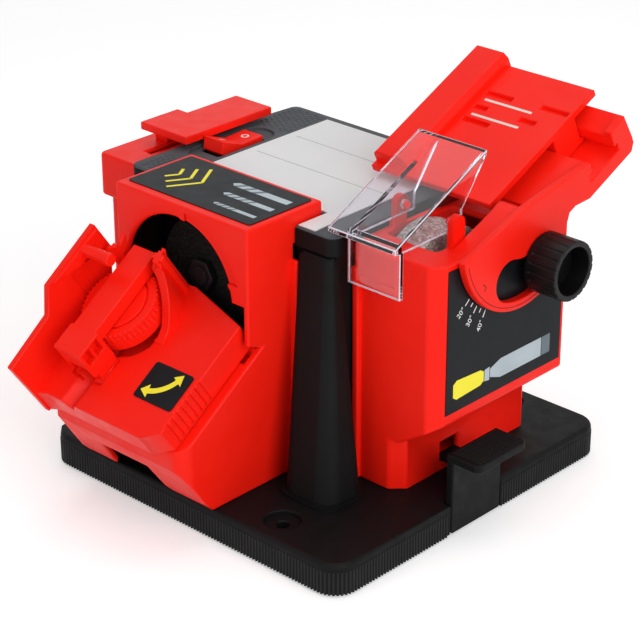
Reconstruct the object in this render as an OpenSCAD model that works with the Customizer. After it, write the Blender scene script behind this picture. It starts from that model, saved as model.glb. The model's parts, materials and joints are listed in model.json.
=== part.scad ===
// Electric multipurpose sharpener: a motor body with drill, chisel and knife
// stations on a square bench base. Millimetres. The origin is the middle of the
// base on the bench top, +Z is up, +X is the chisel side, -Y the drill side.

/* [Base] */
// Side of the square base plate
base_w = 160; // [154:1:170]
// Height of the base plate
base_h = 13; // [11:0.5:15]
// Corner radius of the base plate
base_r = 10; // [6:0.5:14]
// How far the rubber feet stand proud
foot_h = 1; // [0.5:0.25:2.5]
// Diameter of a rubber foot
foot_d = 13; // [10:0.5:15]
// Spacing of the bench holes along X
bench_x = 80; // [74:1:86]
// Spacing of the bench holes along Y
bench_y = 134; // [128:1:138]
// Diameter of a bench hole
bench_d = 5.2; // [4:0.2:6.4]

/* [Release pedal] */
// Width of the pedal
pedal_w = 29.5; // [26:0.5:34]
// Height of the pad top above the bench
pedal_h = 35.5; // [33:0.5:38]
// Depth of the pad
pad_l = 16; // [13:0.5:18]
// Thickness of the pedal
pedal_t = 3.4; // [2.8:0.2:4]
// Diameter of the pedal pin
pedal_pin_d = 4; // [3:0.5:4.5]

/* [Body] */
// Height of the top cover above the bench
cover_z = 118; // [114:1:124]
// Height of the cover skirt
cover_h = 8; // [7:0.5:10]
// Right end of the body
body_x1 = 36; // [34:0.5:38]
// Length of the body along X
body_l = 111.5; // [108:0.5:115]
// Width of the body along Y
body_w = 96; // [92:0.5:100]
// Front face of the body, towards the drill station
body_y0 = -35; // [-37:0.5:-34]
// Wall thickness of the mouldings
wall = 2.6; // [2:0.2:3]
// Thickness of the stickers and the label
sticker_t = 0.4; // [0.2:0.1:0.6]

/* [Motor and wheels] */
// Diameter of the motor shaft
shaft_d = 8; // [6:0.5:9]
// Middle of the motor shaft along Y
shaft_y = 6; // [5:0.5:8]
// Depth of the motor shaft below the cover top
shaft_drop = 27; // [26:0.5:29]
// Diameter of the stator
stator_d = 44; // [38:1:45]
// Diameter of the rotor
rotor_d = 24; // [20:1:27]
// Diameter of the chisel wheel
chisel_wheel_d = 50; // [46:0.5:51]
// Width of the chisel wheel
chisel_wheel_w = 14; // [10:0.5:15]
// Diameter of the knife wheel
knife_wheel_d = 40; // [34:1:42]
// Width of the knife wheel
knife_wheel_w = 6.5; // [5:0.5:7]
// Diameter of the drill wheel
drill_wheel_d = 46; // [40:1:50]
// Width of the drill wheel
drill_wheel_w = 6; // [5:0.5:8]
// Middle of the drill spindle along X
spindle_x = -20.5; // [-22:0.5:-20]

/* [Drill station] */
// Width of the drill housing
drill_w = 71.5; // [70:0.5:74]
// Right face of the drill housing
drill_x1 = 16; // [15:0.5:18]
// Front face of the drill housing
drill_y0 = -60; // [-62:0.5:-59]
// How far the drill housing rises above the cover
drill_rise = 5.5; // [4:0.5:8]
// Radius of the round opening towards the wheel
drill_open_r = 29; // [27:0.5:30.5]
// Slope of the swing tray
tray_tilt = 35; // [33:0.5:38]
// Length of the swing tray
tray_l = 64; // [60:0.5:66]
// Thickness of the swing tray
tray_t = 12.4; // [11.6:0.2:13.2]
// Diameter of the swing pivot
swing_d = 8; // [6:0.5:9]
// Diameter of the clamp wheel
clamp_d = 33; // [28:0.5:34]
// Closing travel of the drill jaw
jaw_travel = 3; // [2:0.25:3.5]

/* [Chisel station] */
// Outer face of the chisel housing, which carries the dial
dial_x = 77; // [75:0.5:79]
// Front face of the chisel housing
chisel_y0 = -23; // [-25:0.5:-22.5]
// Length of the chisel housing along Y
chisel_l = 79; // [77:0.5:81]
// Middle of the tilt pivot along Y
pivot_y = 21; // [20:0.5:23]
// Height of the tilt pivot above the cover top
pivot_up = 2.5; // [2:0.25:4]
// Dial reading in degrees as the photo shows it
arm_tilt = 25; // [22:0.5:30]
// Radius of the dial disc
disc_r = 34.7; // [33:0.1:36]
// Thickness of the dial disc
disc_t = 3.5; // [3:0.25:4.5]
// Distance from the tilt pivot to the clamp stud
stud_r = 22.5; // [21:0.5:23.5]
// Diameter of the clamp stud
stud_d = 6; // [5:0.5:7]
// Diameter of the clamp knob
knob_d = 24; // [22:0.5:28]
// Length of the clamp knob
knob_l = 14.5; // [12:0.5:18]
// Length of the chisel carriage up the slope
carriage_l = 69.5; // [66:0.5:72]
// Width of the chisel carriage along X
carriage_w = 60; // [56:0.5:62]
// Width of the fence on the carriage
fence_w = 17; // [13:0.5:19]
// Height of the fence above the carriage plate
fence_h = 5; // [3:0.5:6]

/* [Shield] */
// Length of the clear shield along X
shield_l = 33.5; // [30:0.5:35]
// Thickness of the clear plastic
shield_t = 2; // [1.6:0.1:2.4]
// Depth of the front skirt
skirt_h = 19; // [15:0.5:21]
// Diameter of the shield pins
shield_pin_d = 3; // [2.4:0.2:3.6]

/* [Knife station] */
// Width of the knife block along X
knife_w = 26; // [25:0.5:29]
// Front face of the knife block
knife_y0 = -28; // [-30:0.5:-26]
// Length of the knife block along Y
knife_l = 68; // [64:0.5:70]
// Height of the knife block
knife_h = 18.5; // [16:0.5:21]

/* [Fits] */
// Gap between parts that move past each other
gap = 0.4; // [0.35:0.05:0.6]
// Radial clearance of a pin or shaft in its bore
fit = 0.05; // [0.02:0.01:0.09]

/* [Hidden] */
$fn = 64;
far = 400;
eps = 0.01;

// Base
bz = foot_h + base_h;
bw = base_w / 2;
base_in = wall * 1.2;
foot_in = bw - foot_d / 2 - base_in - wall;
dish_r = bench_d * 1.4;
dish_h = base_in * 0.6;

// Pedal
pedal_y = -pedal_w * 0.02;
pedal_y0 = pedal_y - pedal_w / 2;
pedal_y1 = pedal_y + pedal_w / 2;
pin_x = bw - pedal_pin_d * 1.6;
pin_z = foot_h + pedal_pin_d * 1.1;
pin_grip = wall * 2.4;
nose_z = bz + (pedal_h - bz) * 0.2;
nose_t = pedal_t * 0.9;
nose_in = wall * 0.7;
nose_y0 = pedal_y + pedal_w * 0.12;
nose_y1 = pedal_y + pedal_w * 0.45;
hub_r = pedal_pin_d * 0.95;
hub_room = max(bz - base_in, pin_z + hub_r + gap);
wire = pedal_pin_d * 0.14;
coils = 4;

// Body
body_x0 = body_x1 - body_l;
body_y1 = body_y0 + body_w;
skirt_z = cover_z - cover_h;
lip = wall;
case_x0 = body_x0 + lip;
case_x1 = body_x1 - gap;
case_y0 = body_y0 + lip;
case_y1 = body_y1 - lip;
floor_z = bz + wall;
col_x0 = body_x1 - wall * 4.8;
col_x1 = body_x1 + wall * 5.2;
col_y0 = body_y0 - wall * 6.7;
col_y1 = case_y0 + wall;
flange_w = wall * 1.2;
flange_d = wall * 0.8;

// Motor line
shaft_r = shaft_d / 2;
shaft_z = cover_z - shaft_drop;
bev_r = shaft_drop * 0.42;
bev_w = bev_r * 0.5;
bracket_t = wall * 1.15;
bearing_r = shaft_r * 2;
bearing_w = shaft_r * 1.5;
bracket_x0 = spindle_x + bev_r + wall;
bracket_x1 = case_x1 - wall - bracket_t;
bracket_w = stator_d + wall * 2;
fan_x = bracket_x1 - bearing_w - wall * 2;
fan_w = wall * 1.4;
stator_x0 = bracket_x0 + bearing_w + wall;
stator_x1 = fan_x - wall;
wheel_x0 = body_x1 + wall * 2.6;
wheel_x1 = wheel_x0 + chisel_wheel_w;
nut_l = shaft_d * 0.75;
nut_r = shaft_d * 0.85;
flange_t = wall * 0.8;
flange_r = chisel_wheel_d * 0.22;

// Drill station
drill_x0 = drill_x1 - drill_w;
drill_z = cover_z + drill_rise;
drill_y1 = body_y0 + wall * 6;
tray_y = drill_y0;
tray_z = shaft_z - wall * 2.8;
tray_x0 = drill_x0 - gap;
tray_x1 = drill_x1 - wall - gap * 4;
tray_up = wall * 3;
swing_x = spindle_x;
swing_b = -wall * 2.3;
swing_in = tray_t * 0.5;
swing_foot = wall * 1.4;
swing_a = 10;
swing_rise = (swing_x - tray_x0) * sin(swing_a) * cos(tray_tilt);
bed_n = -tray_t - gap;
bed_y = tray_y - sin(tray_tilt) * bed_n;
bed_z = tray_z + cos(tray_tilt) * bed_n;
bed_b = -tray_l * 0.82;
chin_y = bed_y + bed_b * cos(tray_tilt);
chin_z = bed_z + bed_b * sin(tray_tilt);
leg_w = drill_w * 0.27;
arch_z = bz + wall * 5.4;
wheel_y1 = body_y0 - wall * 2;
wheel_y0 = wheel_y1 - drill_wheel_w;
bush_r = shaft_r * 1.8;
clamp_x = tray_x0 + clamp_d * 0.61;
clamp_b = -clamp_d * 0.43;
clamp_r = clamp_d / 2;
well_r = clamp_r + gap * 4;
well_n = -tray_t * 0.4;
jaw_w = clamp_d * 0.4;
jaw_l = clamp_d * 0.6;
jaw_t = wall * 1.3;
jaw_n = well_n + jaw_travel + gap;
wheel_n = jaw_n + jaw_t + gap;
clamp_t = clamp_d * 0.27;
bridge_n = wheel_n + clamp_t + gap;
bridge_t = wall * 2.3;
bridge_w = clamp_d * 0.37;
box_b0 = clamp_b - clamp_r - gap * 2 - clamp_d * 0.36;
box_b1 = clamp_b - clamp_r - gap * 2;
post_b0 = clamp_b + clamp_r + gap * 3;
post_b1 = post_b0 + wall * 1.6;
foot_x0 = clamp_x - bridge_w / 2 - wall / 2;
foot_x1 = clamp_x + bridge_w / 2 + wall / 2;
foot_n = wall * 1.2;
stem_r = clamp_d * 0.09;
fin_t = wall * 1.15;
groove = wall * 1.5;

// Chisel station
chisel_x0 = body_x1 + gap;
chisel_y1 = chisel_y0 + chisel_l;
chisel_z = cover_z - wall * 1.6;
waist_x = dial_x - wall * 7;
waist_z = bz + wall * 13;
waist_low = waist_z - wall * 4.4;
edge = wall * 1.9;
pivot_z = cover_z + pivot_up;
pin_r = shaft_r;
disc_x0 = dial_x + sticker_t + gap;
disc_x1 = disc_x0 + disc_t;
stud_a = -58;
stud_y = pivot_y + stud_r * cos(stud_a);
stud_z = pivot_z + stud_r * sin(stud_a);
slot_hw = stud_d * 1.4;
knob_x0 = disc_x1 + gap;
plate_v = pivot_up * 0.1;
plate_t = wall * 1.15;
top_v = plate_v + plate_t;
arm_v = -wall * 1.8;
arm_t = wall * 1.15;
plate_x1 = dial_x - wall * 4.6;
plate_x0 = plate_x1 - carriage_w;
plate_u0 = gap;
plate_u1 = plate_u0 + carriage_l;
rail_u0 = carriage_l * 0.593;
rail_w = carriage_l * 0.205;
rail_u1 = rail_u0 + rail_w;
rail_v = arm_v - wall * 3;
rail_t = wall;
rail_out = wall * 0.8;
arm_u1 = rail_u1 + rail_out + wall * 3;
arm_v0 = rail_v - wall * 2.6;
block_u0 = rail_u0 - rail_out - wall * 1.3;
block_x0 = body_x1 + wall;
notch_u = disc_r * 0.68;
notch_v = -disc_r * 0.455;
wheel_slot_h = chisel_z - wall - shaft_z;
wheel_slot_r = chisel_wheel_d / 2 + gap * 2;
wheel_slot_y = shaft_y - sqrt(max(1, wheel_slot_r * wheel_slot_r - wheel_slot_h * wheel_slot_h));
cheek_t = wall * 3.3;
cheek_r = wall * 3.4;

// Shield
ear_t = wall * 1.1;
ear_r = shield_pin_d * 1.15;
shield_x1 = plate_x1 - gap * 1.6;
shield_x0 = shield_x1 - shield_l;
pin_y = pivot_y - wall * 8.3;
shield_z = cover_z + wall * 1.85;
shield_y0 = chisel_y0 - wall * 3.65;
roof_z0 = cover_z + sticker_t + gap * 2;
roof_a = 26;
roof_l = wall * 21.8;
skirt_x0 = chisel_x0 + gap * 5.5;
arm_x0 = chisel_x0 + ear_t + gap;

// Knife station
knife_x1 = body_x0 - gap;
knife_x0 = knife_x1 - knife_w;
knife_wx = knife_x1 - wall * 1.6 - knife_wheel_w;
knife_y1 = knife_y0 + knife_l;
knife_z = cover_z - wall * 1.4;
knife_low_x = knife_x0 + wall * 1.15;
guide_z = cover_z + wall * 2.3;
guide_t = wall * 1.3;
guide_x0 = knife_x0 + wall * 2.2;
slit = wall * 0.7;

// Switch
rocker_x = body_x0 + wall * 4.9;
rocker_y = shaft_y + wall * 1.6;
rocker_w = wall * 4.2;
guide_x1 = rocker_x - rocker_w / 2 - gap * 2;
rocker_l = wall * 10;
rocker_a = 9;
switch_h = wall * 5;

module box(a, b) { translate(a) cube(b - a); }

module rounded(x0, x1, y0, y1, r) {
    translate([x0 + r, y0]) square([x1 - x0 - 2 * r, y1 - y0]);
    translate([x0, y0 + r]) square([x1 - x0, y1 - y0 - 2 * r]);
    for (x = [x0 + r, x1 - r], y = [y0 + r, y1 - r]) translate([x, y]) circle(r);
}

module slab(x0, x1, y0, y1, z0, z1, r) {
    translate([0, 0, z0]) linear_extrude(z1 - z0) rounded(x0, x1, y0, y1, r);
}

module along_x(x0, x1) {
    translate([x0, 0, 0]) rotate([90, 0, 90]) linear_extrude(x1 - x0) children();
}

module rod_x(x0, x1, r, y, z) {
    translate([x0, y, z]) rotate([0, 90, 0]) cylinder(h = x1 - x0, r = r);
}

module rod_y(y0, y1, r, x, z) {
    translate([x, y0, z]) rotate([-90, 0, 0]) cylinder(h = y1 - y0, r = r);
}

module on_tray() {
    translate([0, tray_y, tray_z]) rotate([tray_tilt, 0, 0]) children();
}

module on_arm() {
    translate([0, pivot_y, pivot_z]) rotate([arm_tilt, 0, 0]) children();
}

// A grinding wheel or flange on the shaft line, bored for the shaft
module wheel_x(x0, x1, r, bore) {
    difference() {
        rod_x(x0, x1, r, shaft_y, shaft_z);
        rod_x(x0 - eps, x1 + eps, bore, shaft_y, shaft_z);
    }
}

module wheel_y(y0, y1, r, bore) {
    difference() {
        rod_y(y0, y1, r, spindle_x, shaft_z);
        rod_y(y0 - eps, y1 + eps, bore, spindle_x, shaft_z);
    }
}

module at_bench() {
    for (x = [-1, 1], y = [-1, 1]) translate([x * bench_x / 2, y * bench_y / 2, 0]) children();
}

module at_feet() {
    for (x = [-1, 1], y = [-1, 1]) translate([x * foot_in, y * foot_in, 0]) children();
}

module at_base_screws() {
    for (x = [case_x0 + wall * 4, case_x1 - wall * 6], y = [case_y0 + wall * 4, case_y1 - wall * 4])
        translate([x, y, 0]) children();
}

module base_plate() {
    color([0.14, 0.14, 0.15]) difference() {
        union() {
            difference() {
                slab(-bw, bw, -bw, bw, foot_h, bz, base_r);
                slab(-bw + base_in, bw - base_in, -bw + base_in, bw - base_in,
                    foot_h - eps, bz - base_in, base_r - base_in);
            }
            at_bench() cylinder(h = bz, r = dish_r + wall * 1.2);
            at_feet() translate([0, 0, foot_h]) cylinder(h = base_h, r = foot_d / 2 + wall / 2);
            at_base_screws() translate([0, 0, foot_h + wall]) cylinder(h = base_h - wall, r = wall * 2);
            box([pin_x - hub_r - wall * 2, pedal_y0 - gap - pin_grip, foot_h],
                [bw - base_in / 2, pedal_y1 + gap + pin_grip, bz]);
        }
        box([pin_x - hub_r - wall, pedal_y0 - gap, foot_h - eps], [far, pedal_y1 + gap, hub_room]);
        box([bw - pedal_t - gap * 2, pedal_y0 - gap, foot_h], [far, pedal_y1 + gap, bz + eps]);
        rod_y(pedal_y0 - gap - pin_grip / 2, pedal_y1 + gap + pin_grip / 2, pedal_pin_d / 2, pin_x, pin_z);
        at_bench() {
            translate([0, 0, -eps]) cylinder(h = far, r = bench_d / 2);
            translate([0, 0, bz - dish_h]) cylinder(h = far, r = dish_r);
        }
        at_feet() translate([0, 0, -eps]) cylinder(h = foot_h + wall + eps, r = foot_d / 2);
        at_base_screws() {
            translate([0, 0, -eps]) cylinder(h = far, r = wall * 0.75);
            translate([0, 0, -eps]) cylinder(h = bz - base_in + eps, r = wall * 1.5);
        }
    }
}

module rubber_feet() {
    color([0.08, 0.08, 0.08]) at_feet() cylinder(h = foot_h + wall, r = foot_d / 2);
}

module base_screws() {
    color([0.7, 0.71, 0.72]) at_base_screws() {
        translate([0, 0, bz - base_in - wall]) cylinder(h = wall, r = wall * 1.4);
        translate([0, 0, bz - base_in]) cylinder(h = base_in + wall * 2, r = wall * 0.75);
    }
}

module pedal_pin() {
    color([0.72, 0.73, 0.75])
        rod_y(pedal_y0 - gap - pin_grip / 2, pedal_y1 + gap + pin_grip / 2, pedal_pin_d / 2, pin_x, pin_z);
}

// Torsion spring in the middle of the pin, its tail against the base
module pedal_spring() {
    ring_r = pedal_pin_d / 2 + wire * 2;
    color([0.6, 0.61, 0.63]) {
        for (i = [0:coils - 1])
            translate([pin_x, pedal_y + (i - (coils - 1) / 2) * wire * 1.9, pin_z])
                rotate([90, 0, 0]) rotate_extrude() translate([ring_r, 0]) circle(wire);
        rod_x(pin_x - hub_r - wall, pin_x, wire, pedal_y, pin_z + ring_r);
    }
}

module release_pedal() {
    color([0.13, 0.13, 0.14]) difference() {
        union() {
            box([bw - pedal_t, pedal_y0, pin_z], [bw, pedal_y1, pedal_h]);
            box([bw - pedal_t, pedal_y0, pedal_h - pedal_t], [bw - pedal_t + pad_l, pedal_y1, pedal_h]);
            box([waist_x - nose_in, nose_y0, nose_z], [bw - pedal_t + eps, nose_y1, nose_z + nose_t]);
            for (y = [nose_y0 + wall / 2, nose_y1 - wall / 2]) along_rib(y);
            rod_y(pedal_y0, pedal_y1, hub_r, pin_x, pin_z);
            box([pin_x, pedal_y0, pin_z - hub_r], [bw, pedal_y1, pin_z + hub_r]);
        }
        rod_y(pedal_y0 - eps, pedal_y1 + eps, pedal_pin_d / 2 + fit, pin_x, pin_z);
        box([pin_x - far / 2, pedal_y - pedal_pin_d * 1.1, -eps],
            [bw - pedal_t * 0.4, pedal_y + pedal_pin_d * 1.1, pin_z + hub_r * 1.6]);
    }
}

module along_rib(y) {
    translate([0, y + wall / 4, 0]) rotate([90, 0, 0]) linear_extrude(wall / 2)
        polygon([[bw - pedal_t, nose_z - (nose_z - bz) * 0.6], [bw - pedal_t, nose_z + eps],
            [waist_x + wall * 2, nose_z + eps]]);
}

module motor_housing() {
    color([0.15, 0.15, 0.16]) difference() {
        union() {
            box([case_x0, case_y0, bz], [case_x1, case_y1, skirt_z]);
            column();
        }
        box([case_x0 + wall, case_y0 + wall, floor_z], [case_x1 - wall, case_y1 - wall, far]);
        rod_x(-far, far, shaft_r + wall, shaft_y, shaft_z);
        rod_y(-far, shaft_y, bush_r, spindle_x, shaft_z);
        rod_y(shaft_y, far, wall * 2.4, case_x0 + body_l * 0.3, bz + wall * 6);
        at_base_screws() translate([0, 0, -eps]) cylinder(h = far, r = wall * 0.75);
        for (i = [0:7]) box([case_x0 + body_l * 0.5 + i * wall * 1.8, shaft_y, skirt_z - wall * 14],
            [case_x0 + body_l * 0.5 + i * wall * 1.8 + wall * 0.9, far, skirt_z - wall * 4]);
        drill_notch();
        chisel_notch();
    }
}

// Tapered front pillar with a rounded corner, a low foot and a rounded cap
module column() {
    foot = wall * 0.6;
    slab(col_x0 - foot, col_x1 + foot, col_y0 - foot, col_y1, bz, bz + foot, wall * 3);
    hull() {
        slab(col_x0, col_x1, col_y0, col_y1, bz, bz + wall, wall * 3);
        slab(drill_x1 + wall, body_x1, body_y0 - wall * 0.7, col_y1,
            skirt_z - wall * 1.6, skirt_z - wall, wall * 1.2);
        slab(drill_x1 + wall * 1.4, body_x1 - wall * 0.5, body_y0 - wall * 0.3, col_y1,
            skirt_z - wall, skirt_z - gap, wall);
    }
}

// Room that the red housings take out of the black body
module drill_notch() {
    box([drill_x0 - gap, -far, bz - eps], [drill_x1 + gap, body_y0 + wall / 2, far]);
    box([drill_x1, body_y0 - flange_d - gap, bz - eps],
        [drill_x1 + flange_w + gap, body_y0 + wall / 2, skirt_z - wall * 2 + gap]);
}

module chisel_notch() {
    box([body_x1, chisel_y0 - gap, bz - eps], [far, far, far]);
    box([body_x1, chisel_y0 - flange_d - gap, bz - eps],
        [chisel_x0 + flange_w + gap, far, skirt_z - wall * 2 + gap]);
}

module cover_plan() {
    difference() {
        rounded(body_x0, body_x1, body_y0, body_y1, wall * 1.7);
        translate([drill_x0 - gap, body_y0 - far])
            square([drill_w + gap * 2, far + drill_y1 + gap - body_y0]);
    }
}

module cover_inner() {
    difference() {
        translate([case_x0 + wall, body_y0 + wall])
            square([case_x1 - case_x0 - wall * 2, body_w - wall * 2.2]);
        translate([drill_x0 - gap - wall, body_y0 - far])
            square([drill_w + gap * 2 + wall * 2, far + drill_y1 + gap + wall - body_y0]);
    }
}

module top_cover() {
    color([0.33, 0.345, 0.36]) difference() {
        translate([0, 0, skirt_z]) linear_extrude(cover_h) cover_plan();
        translate([0, 0, skirt_z - eps]) linear_extrude(cover_h - wall) cover_inner();
        slab(rocker_x - rocker_w / 2 - gap, rocker_x + rocker_w / 2 + gap, rocker_y - rocker_l / 2 - gap,
            rocker_y + rocker_l / 2 + gap, skirt_z, far, wall / 2);
        slab(rocker_x - rocker_w * 0.72, rocker_x + rocker_w * 0.72, rocker_y - rocker_l * 0.82,
            rocker_y + rocker_l * 0.82, cover_z - wall * 0.4, far, rocker_w * 0.7);
    }
}

module rating_label() {
    color([0.95, 0.95, 0.95]) translate([0, 0, cover_z]) linear_extrude(sticker_t) {
        translate([rocker_x + rocker_w, drill_y1 + gap * 4])
            square([body_x1 - wall * 4 - rocker_x - rocker_w, body_y1 - wall * 2 - drill_y1 - gap * 4]);
        translate([drill_x1 + gap * 3, body_y0 + wall / 2])
            square([body_x1 - wall * 4 - drill_x1 - gap * 3, drill_y1 + gap * 5 - body_y0 - wall / 2]);
    }
}

module cable_gland() {
    gx = case_x0 + body_l * 0.3;
    gz = bz + wall * 6;
    color([0.1, 0.1, 0.1]) difference() {
        union() {
            rod_y(case_y1 - wall * 2, case_y1 + wall * 3, wall * 2.4, gx, gz);
            rod_y(case_y1, case_y1 + wall, wall * 3.2, gx, gz);
        }
        rod_y(-far, far, wall * 1.3, gx, gz);
    }
}

module motor_can() {
    color([0.58, 0.59, 0.6])
        wheel_x(bracket_x0 + bracket_t, bracket_x1, stator_d / 2 + wall / 2, stator_d / 2);
}

module stator() {
    color([0.45, 0.46, 0.47]) difference() {
        rod_x(stator_x0, stator_x1, stator_d / 2, shaft_y, shaft_z);
        rod_x(stator_x0 - eps, stator_x1 + eps, rotor_d / 2 + gap, shaft_y, shaft_z);
    }
}

module bracket(x0, boss_x0, boss_x1) {
    color([0.66, 0.67, 0.68]) difference() {
        union() {
            box([x0, shaft_y - bracket_w / 2, floor_z],
                [x0 + bracket_t, shaft_y + bracket_w / 2, shaft_z + bearing_r + wall]);
            rod_x(boss_x0, boss_x1, bearing_r + wall, shaft_y, shaft_z);
        }
        rod_x(boss_x0 - eps, boss_x1 + eps, bearing_r, shaft_y, shaft_z);
    }
}

module bracket_left() { bracket(bracket_x0, bracket_x0, bracket_x0 + bearing_w); }

module bracket_right() {
    bracket(bracket_x1, bracket_x1 + bracket_t - bearing_w, bracket_x1 + bracket_t);
}

module bearings() {
    color([0.78, 0.79, 0.8]) for (x = [bracket_x0, bracket_x1 + bracket_t - bearing_w])
        wheel_x(x, x + bearing_w, bearing_r, shaft_r + fit);
}

module capacitor() {
    color([0.2, 0.22, 0.3]) {
        translate([case_x0 + body_l * 0.3, case_y0 + wall * 7, floor_z])
            cylinder(h = wall * 12, r = wall * 4);
    }
}

module spindle_bush() {
    color([0.72, 0.56, 0.3]) difference() {
        union() {
            rod_y(body_y0 + wall / 2, case_y0 + wall * 6, bush_r, spindle_x, shaft_z);
            rod_y(case_y0 + wall, case_y0 + wall * 2, bush_r + wall, spindle_x, shaft_z);
        }
        rod_y(-far, far, shaft_r + fit, spindle_x, shaft_z);
    }
}

module switch_frame() {
    color([0.1, 0.1, 0.11]) difference() {
        box([rocker_x - rocker_w / 2 - gap - wall / 2, rocker_y - rocker_l / 2 - gap - wall / 2,
            cover_z - wall - switch_h], [rocker_x + rocker_w / 2 + gap + wall / 2,
            rocker_y + rocker_l / 2 + gap + wall / 2, cover_z - wall]);
        box([rocker_x - rocker_w / 2 - gap, rocker_y - rocker_l / 2 - gap, cover_z - switch_h],
            [rocker_x + rocker_w / 2 + gap, rocker_y + rocker_l / 2 + gap, far]);
        rod_x(rocker_x - rocker_w / 2 - wall, rocker_x + rocker_w / 2 + wall, wall / 2, rocker_y,
            cover_z - wall * 2);
    }
}

// Two facets that meet over the pivot: one end stands up when the other is down
module switch_rocker() {
    color([0.86, 0.13, 0.09]) translate([rocker_x, rocker_y, cover_z - wall * 2]) rotate([-rocker_a, 0, 0]) {
        rotate([90, 0, 90]) translate([0, 0, -rocker_w / 2]) linear_extrude(rocker_w)
            polygon([[-rocker_l / 2 + wall / 2, wall], [-rocker_l / 2 + wall / 2, wall * 3.1],
                [0, wall * 2.2], [rocker_l / 2 - wall / 2, wall * 3.1],
                [rocker_l / 2 - wall / 2, wall], [wall, -wall], [-wall, -wall]]);
        rotate([0, 90, 0]) translate([0, 0, -rocker_w / 2 - gap - wall / 4])
            cylinder(h = rocker_w + gap * 2 + wall / 2, r = wall / 2 - fit);
    }
}

module drill_profile() {
    polygon([[drill_y1, drill_z], [drill_y0, drill_z], [drill_y0, bed_z + wall],
        [bed_y, bed_z], [chin_y, chin_z], [chin_y, chin_z - wall * 3],
        [chin_y + wall * 4.4, bz + wall * 1.6], [chin_y + wall * 6, bz],
        [body_y0, bz], [body_y0, skirt_z + gap], [drill_y1, skirt_z + gap]]);
}

module drill_inner() {
    polygon([[drill_y1 - wall, drill_z - wall], [drill_y0 + wall, drill_z - wall],
        [drill_y0 + wall, bed_z + wall], [bed_y + wall, bed_z - wall * 1.4],
        [chin_y + wall, chin_z - wall * 1.2], [chin_y + wall, chin_z - wall * 3],
        [chin_y + wall * 5.6, bz + wall * 1.6], [chin_y + wall * 7, -far],
        [body_y0 - wall, -far], [body_y0 - wall, skirt_z + gap + wall],
        [drill_y1 - wall, skirt_z + gap + wall]]);
}

module drill_housing() {
    color([0.9, 0.15, 0.1]) difference() {
        union() {
            along_x(drill_x0, drill_x1) drill_profile();
            box([drill_x1 - eps, body_y0 - flange_d, bz],
                [drill_x1 + flange_w, body_y0, skirt_z - wall * 2]);
        }
        difference() {
            along_x(drill_x0 + wall, drill_x1 - wall) drill_inner();
            on_tray() translate([swing_x, swing_b, bed_n - swing_foot - wall])
                cylinder(h = swing_foot + wall, r = swing_d / 2 + wall);
        }
        rod_y(drill_y0 - far, drill_y0 + wall * 2, drill_open_r, spindle_x - wall / 2, shaft_z - wall * 0.7);
        opening_step();
        box([drill_x0 + wall, drill_y0 - eps, bed_z - wall * 2],
            [drill_x1 - wall, drill_y0 + wall * 2, tray_z + wall * 3]);
        rod_y(body_y0 - wall * 2, body_y0 + wall * 2, bush_r + wall, spindle_x, shaft_z);
        along_y_arch();
        on_tray() translate([swing_x, swing_b, bed_n - swing_foot])
            cylinder(h = swing_foot + gap, r = swing_d / 2);
    }
}

// Shallow step outside the upper right edge of the round opening
module opening_step() {
    intersection() {
        rod_y(drill_y0 - far, drill_y0 + wall * 0.4, drill_open_r + wall * 1.5, spindle_x, shaft_z - wall);
        box([spindle_x + wall * 1.2, -far, shaft_z + wall * 3.1], [far, far, far]);
    }
}

module along_y_arch() {
    translate([0, body_y0 - wall * 2, 0]) rotate([90, 0, 0]) linear_extrude(far)
        polygon([[drill_x0 + leg_w * 0.85, -eps], [drill_x0 + leg_w * 1.1, arch_z],
            [drill_x1 - leg_w * 1.3, arch_z], [drill_x1 - leg_w, -eps]]);
}

module drill_sticker() {
    color([0.16, 0.17, 0.18]) slab(drill_x0 + wall, drill_x1 - wall, drill_y0 + wall * 1.6,
        drill_y1 - wall, drill_z, drill_z + sticker_t, wall / 2);
}

module swing_post() {
    color([0.72, 0.73, 0.75]) on_tray() translate([swing_x, swing_b, bed_n - swing_foot])
        cylinder(h = swing_foot + gap + swing_in * 0.8, r = swing_d / 2);
}

module chisel_plan(x1) {
    polygon([[chisel_x0, chisel_y0], [x1 - edge, chisel_y0], [x1, chisel_y0 + edge],
        [x1, chisel_y1 - edge / 2], [x1 - edge / 2, chisel_y1], [chisel_x0, chisel_y1]]);
}

module chisel_inner(x1) {
    polygon([[chisel_x0 + wall, chisel_y0 + wall], [x1 - edge - wall / 2, chisel_y0 + wall],
        [x1 - wall, chisel_y0 + edge + wall / 2], [x1 - wall, chisel_y1 - edge / 2 - wall / 2],
        [x1 - edge / 2 - wall / 2, chisel_y1 - wall], [chisel_x0 + wall, chisel_y1 - wall]]);
}

// Sloping underside where the upper box overhangs the foot
module waist_cut(in, up) {
    translate([-in, far, up]) rotate([90, 0, 0]) linear_extrude(far * 2)
        polygon([[waist_x, waist_low], [dial_x, waist_z], [far, waist_z], [far, -far],
            [waist_x, -far]]);
}

module cheek() {
    along_x(dial_x - cheek_t, dial_x)
        polygon([[chisel_y0 + edge, chisel_z - wall], [pivot_y - wall * 10.4, chisel_z - eps],
            [pivot_y - wall * 1.4, pivot_z + wall], [pivot_y, pivot_z + wall * 1.8],
            [pivot_y + wall, pivot_z + wall * 1.8], [pivot_y + cheek_r, pivot_z],
            [pivot_y + cheek_r, chisel_z - wall]]);
}

module ear(x) { rod_x(x, x + ear_t, ear_r, pin_y, shield_z); }

module ear_foot(x) {
    box([x, pin_y - ear_r, chisel_z - wall], [x + ear_t, pin_y + ear_r, shield_z]);
}

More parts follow.
